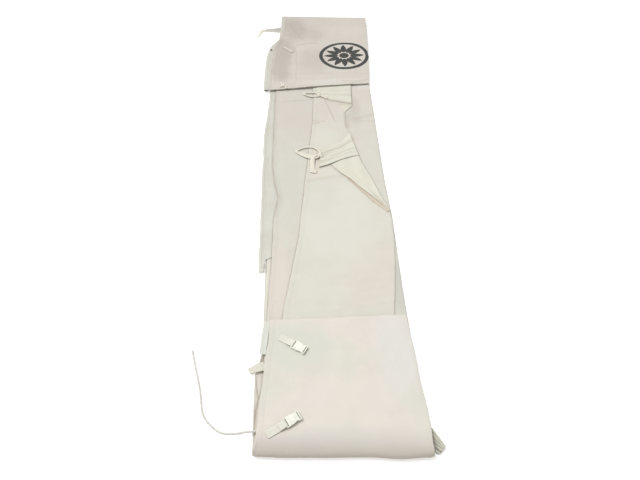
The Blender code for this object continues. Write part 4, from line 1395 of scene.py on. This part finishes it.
def near_trim():
    level = top_of("side_binding_tape")
    left = mm((-275.5, -1020), (-273, -957), (-263, -884))
    right = mm((-252.5, -1023), (-247, -965), (-241, -882))

    def height(u, v, x, y):
        rounded = fold_drop(v * 0.018, 0.0022, 0.0016)
        return level + SWELL["flap"] * swell(x, y) * 0.8 + rounded + 0.0006 * bell(v - 0.42, 0.1)

    def shade(u, v):
        inner = 0.30 * bell(v - 0.30, 0.04) + 0.30 * bell(v - 0.97, 0.05)
        return inner + 0.40 * bell(v, 0.05) + 0.18 * bell(v - 0.44, 0.03)

    binding = loft("side_binding_cloth", left, right, 40, 22, height, shade, up=False)
    piece(binding, tape_plain, "near_flap", ["side_binding_tape"])
    low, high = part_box("left_facing_rolled_end")
    left = [(low.x - 0.002, high.y + 0.024), (high.x - 0.008, high.y + 0.024)]
    right = [(low.x - 0.001, low.y + 0.009), (high.x - 0.008, low.y + 0.010)]
    rolled_edge(
        "left_facing_roll", left, right, low.z, (high.z - low.z, high.z - low.z), 2.0, "root",
        ["left_facing_rolled_end"], canvas_band, step=0.004,
    )


# ---------------------------------------------------------------- buckles

STRAP_LENGTHS = {"lower_buckle": 0.0655, "upper_buckle": 0.0547}
WEBBING_WIDTH = 0.0265
WEBBING_THICK = 0.0014


def moulded(node, body):
    """A moulded plastic part: the CAD's shape with rounded edges."""
    mesh = frame["nodes"][node].data.copy()
    bm = bmesh.new()
    bm.from_mesh(mesh)
    bmesh.ops.remove_doubles(bm, verts=bm.verts[:], dist=1e-6)
    bmesh.ops.dissolve_limit(bm, angle_limit=math.radians(1.0), verts=bm.verts[:], edges=bm.edges[:])
    bm.to_mesh(mesh)
    bm.free()
    obj = link(bpy.data.objects.new(node + "_moulding", mesh))
    bevel = obj.modifiers.new("rounded edges", "BEVEL")
    bevel.width = 0.0007
    bevel.segments = 3
    bevel.limit_method = "ANGLE"
    bevel.angle_limit = math.radians(28)
    mesh.shade_smooth()
    bevel.harden_normals = True
    piece(obj, ivory_plastic, body, [node])


def buckle_strap(prefix, at, along, across):
    """A webbing strap that runs to the plug, turns round its bar and lies back on itself."""
    upward = np.cross(along, across)
    length = STRAP_LENGTHS[prefix]
    bar_x, bar_z, turn = length + 0.0022, 0.0045, 0.0033
    path = [(0.0, WEBBING_THICK), (length * 0.35, WEBBING_THICK * 1.1), (length * 0.7, WEBBING_THICK)]
    path += [(bar_x - 0.004, WEBBING_THICK)]
    path += [(bar_x + turn * math.cos(a), bar_z + turn * math.sin(a)) for a in np.radians(range(-90, 91, 20))]
    path += [(bar_x - 0.006, 0.0070), (bar_x - 0.014, 0.0052), (bar_x - 0.024, 0.0036)]
    line = spline([(x, 0.0, z) for x, z in path], 0.0012)
    side = np.linspace(-0.5, 0.5, 13) * WEBBING_WIDTH
    bow = 0.0003 * np.sin(side * 260) * smooth((bar_x - 0.012 - line[:, :1]) / 0.02)
    height = line[:, 2:] + bow
    points = at + (along * line[:, :1])[:, None] + across * side[None, :, None] + upward * height[..., None]
    obj = grid_object(
        prefix + "_strap_tape", points, uv_grid(
            side, run_along(line),
        ), thickness=WEBBING_THICK * 0.9, up=False,
    )
    piece(obj, webbing, None, [prefix + "_webbing"])
    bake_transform(obj)


def box_stitches(prefix, at, along, across):
    """The crossed box of stitches that holds a strap's root to the flap."""
    top = WEBBING_THICK + 0.0009
    corners = mm((2, -10), (10.5, -10), (10.5, 10), (2, 10), (2, -10), (10.5, 10))
    corners = at + corners[:, :1] * along + corners[:, 1:] * across + top * np.cross(along, across)
    rows = []
    for index, (start, end) in enumerate(zip(corners, corners[1:])):
        seam = start + np.linspace(0, 1, 12)[:, None] * (end - start)
        rows.append(stitch_row(f"{prefix}_seam_{index}", seam))
    piece(join(prefix + "_box_stitches", rows), thread, "near_flap")


def buckle(prefix):
    joints = {joint["name"]: joint for joint in frame["joints"]}
    at = np.array(joints[prefix + "_strap_lift"]["pos_m"])
    along = np.array(joints[prefix + "_release"]["axis"])
    across = -np.array(joints[prefix + "_strap_lift"]["axis"])
    buckle_strap(prefix, at, along, across)
    box_stitches(prefix, at, along, across)
    moulded(prefix + "_plug_base", prefix + "_strap")
    for part in ("_socket", "_left_arm", "_right_arm"):
        moulded(prefix + part, prefix + part)


# ---------------------------------------------------------------- stage

def camera():
    """The view of a person who stands at the near end and looks down the bag."""
    pitch, yaw, roll = math.radians(51.585), math.radians(0.687), math.radians(-1.152)
    forward = Vector((math.sin(yaw) * math.cos(pitch), math.cos(yaw) * math.cos(pitch), -math.sin(pitch)))
    right = Vector((math.cos(yaw), -math.sin(yaw), 0))
    up = right.cross(forward)
    rolled_right = right * math.cos(roll) + up * math.sin(roll)
    rolled_up = up * math.cos(roll) - right * math.sin(roll)
    data = bpy.data.cameras.new("camera")
    data.sensor_width = 36
    data.lens = 27
    obj = link(bpy.data.objects.new("camera", data))
    turn = Matrix((rolled_right, rolled_up, -forward)).transposed().to_4x4()
    obj.matrix_world = Matrix.Translation((-0.0605, -1.766, 1.6076)) @ turn
    bpy.context.scene.camera = obj


def floor_and_backdrop():
    bpy.ops.mesh.primitive_plane_add(size=60, location=(0, 0, -0.0002))
    floor = bpy.context.object
    floor.name = "floor"
    floor.data.materials.append(new_look("pale_floor").finish(
        Base_Color=(0.93, 0.93, 0.93), Roughness=0.9, Specular_IOR_Level=0.0, Emission_Color=(1.0, 1.0, 1.0),
        Emission_Strength=0.36,
    ))
    world = bpy.data.worlds.new("studio")
    bpy.context.scene.world = world
    studio = Nodes(world)
    backdrop = studio.tree.nodes["Background"].inputs
    studio.feed(backdrop["Color"], (1.0, 1.0, 1.0))
    seen = studio.add("LightPath", output="Is Camera Ray")
    studio.feed(backdrop["Strength"], studio.maths("MULTIPLY_ADD", seen, 0.45, 0.55))


def lamps():
    sun = bpy.data.lights.new("skylight", "SUN")
    sun.energy = 1.75
    sun.angle = math.radians(34)
    sky = link(bpy.data.objects.new("skylight", sun))
    sky.rotation_euler = Vector((0.50, -0.34, -1.0)).to_track_quat("-Z", "Y").to_euler()
    near = bpy.data.lights.new("near_light", "AREA")
    near.size = 1.6
    near.energy = 12.0
    lamp = link(bpy.data.objects.new("near_light", near))
    lamp.location = (-0.6, -0.5, 2.2)
    lamp.rotation_euler = (Vector((0, -0.9, 0)) - Vector(lamp.location)).to_track_quat("-Z", "Y").to_euler()
    bpy.context.scene.view_settings.view_transform = "Standard"


back_panel()
back_lining()
left_facing()
left_front()
right_side()
front_panel()
folded_ends()
upper_tie()
lower_tie()
side_tapes()
drawcord()
gathered_end()
far_trim()
near_trim()
buckle("lower_buckle")
buckle("upper_buckle")
camera()
floor_and_backdrop()
lamps()
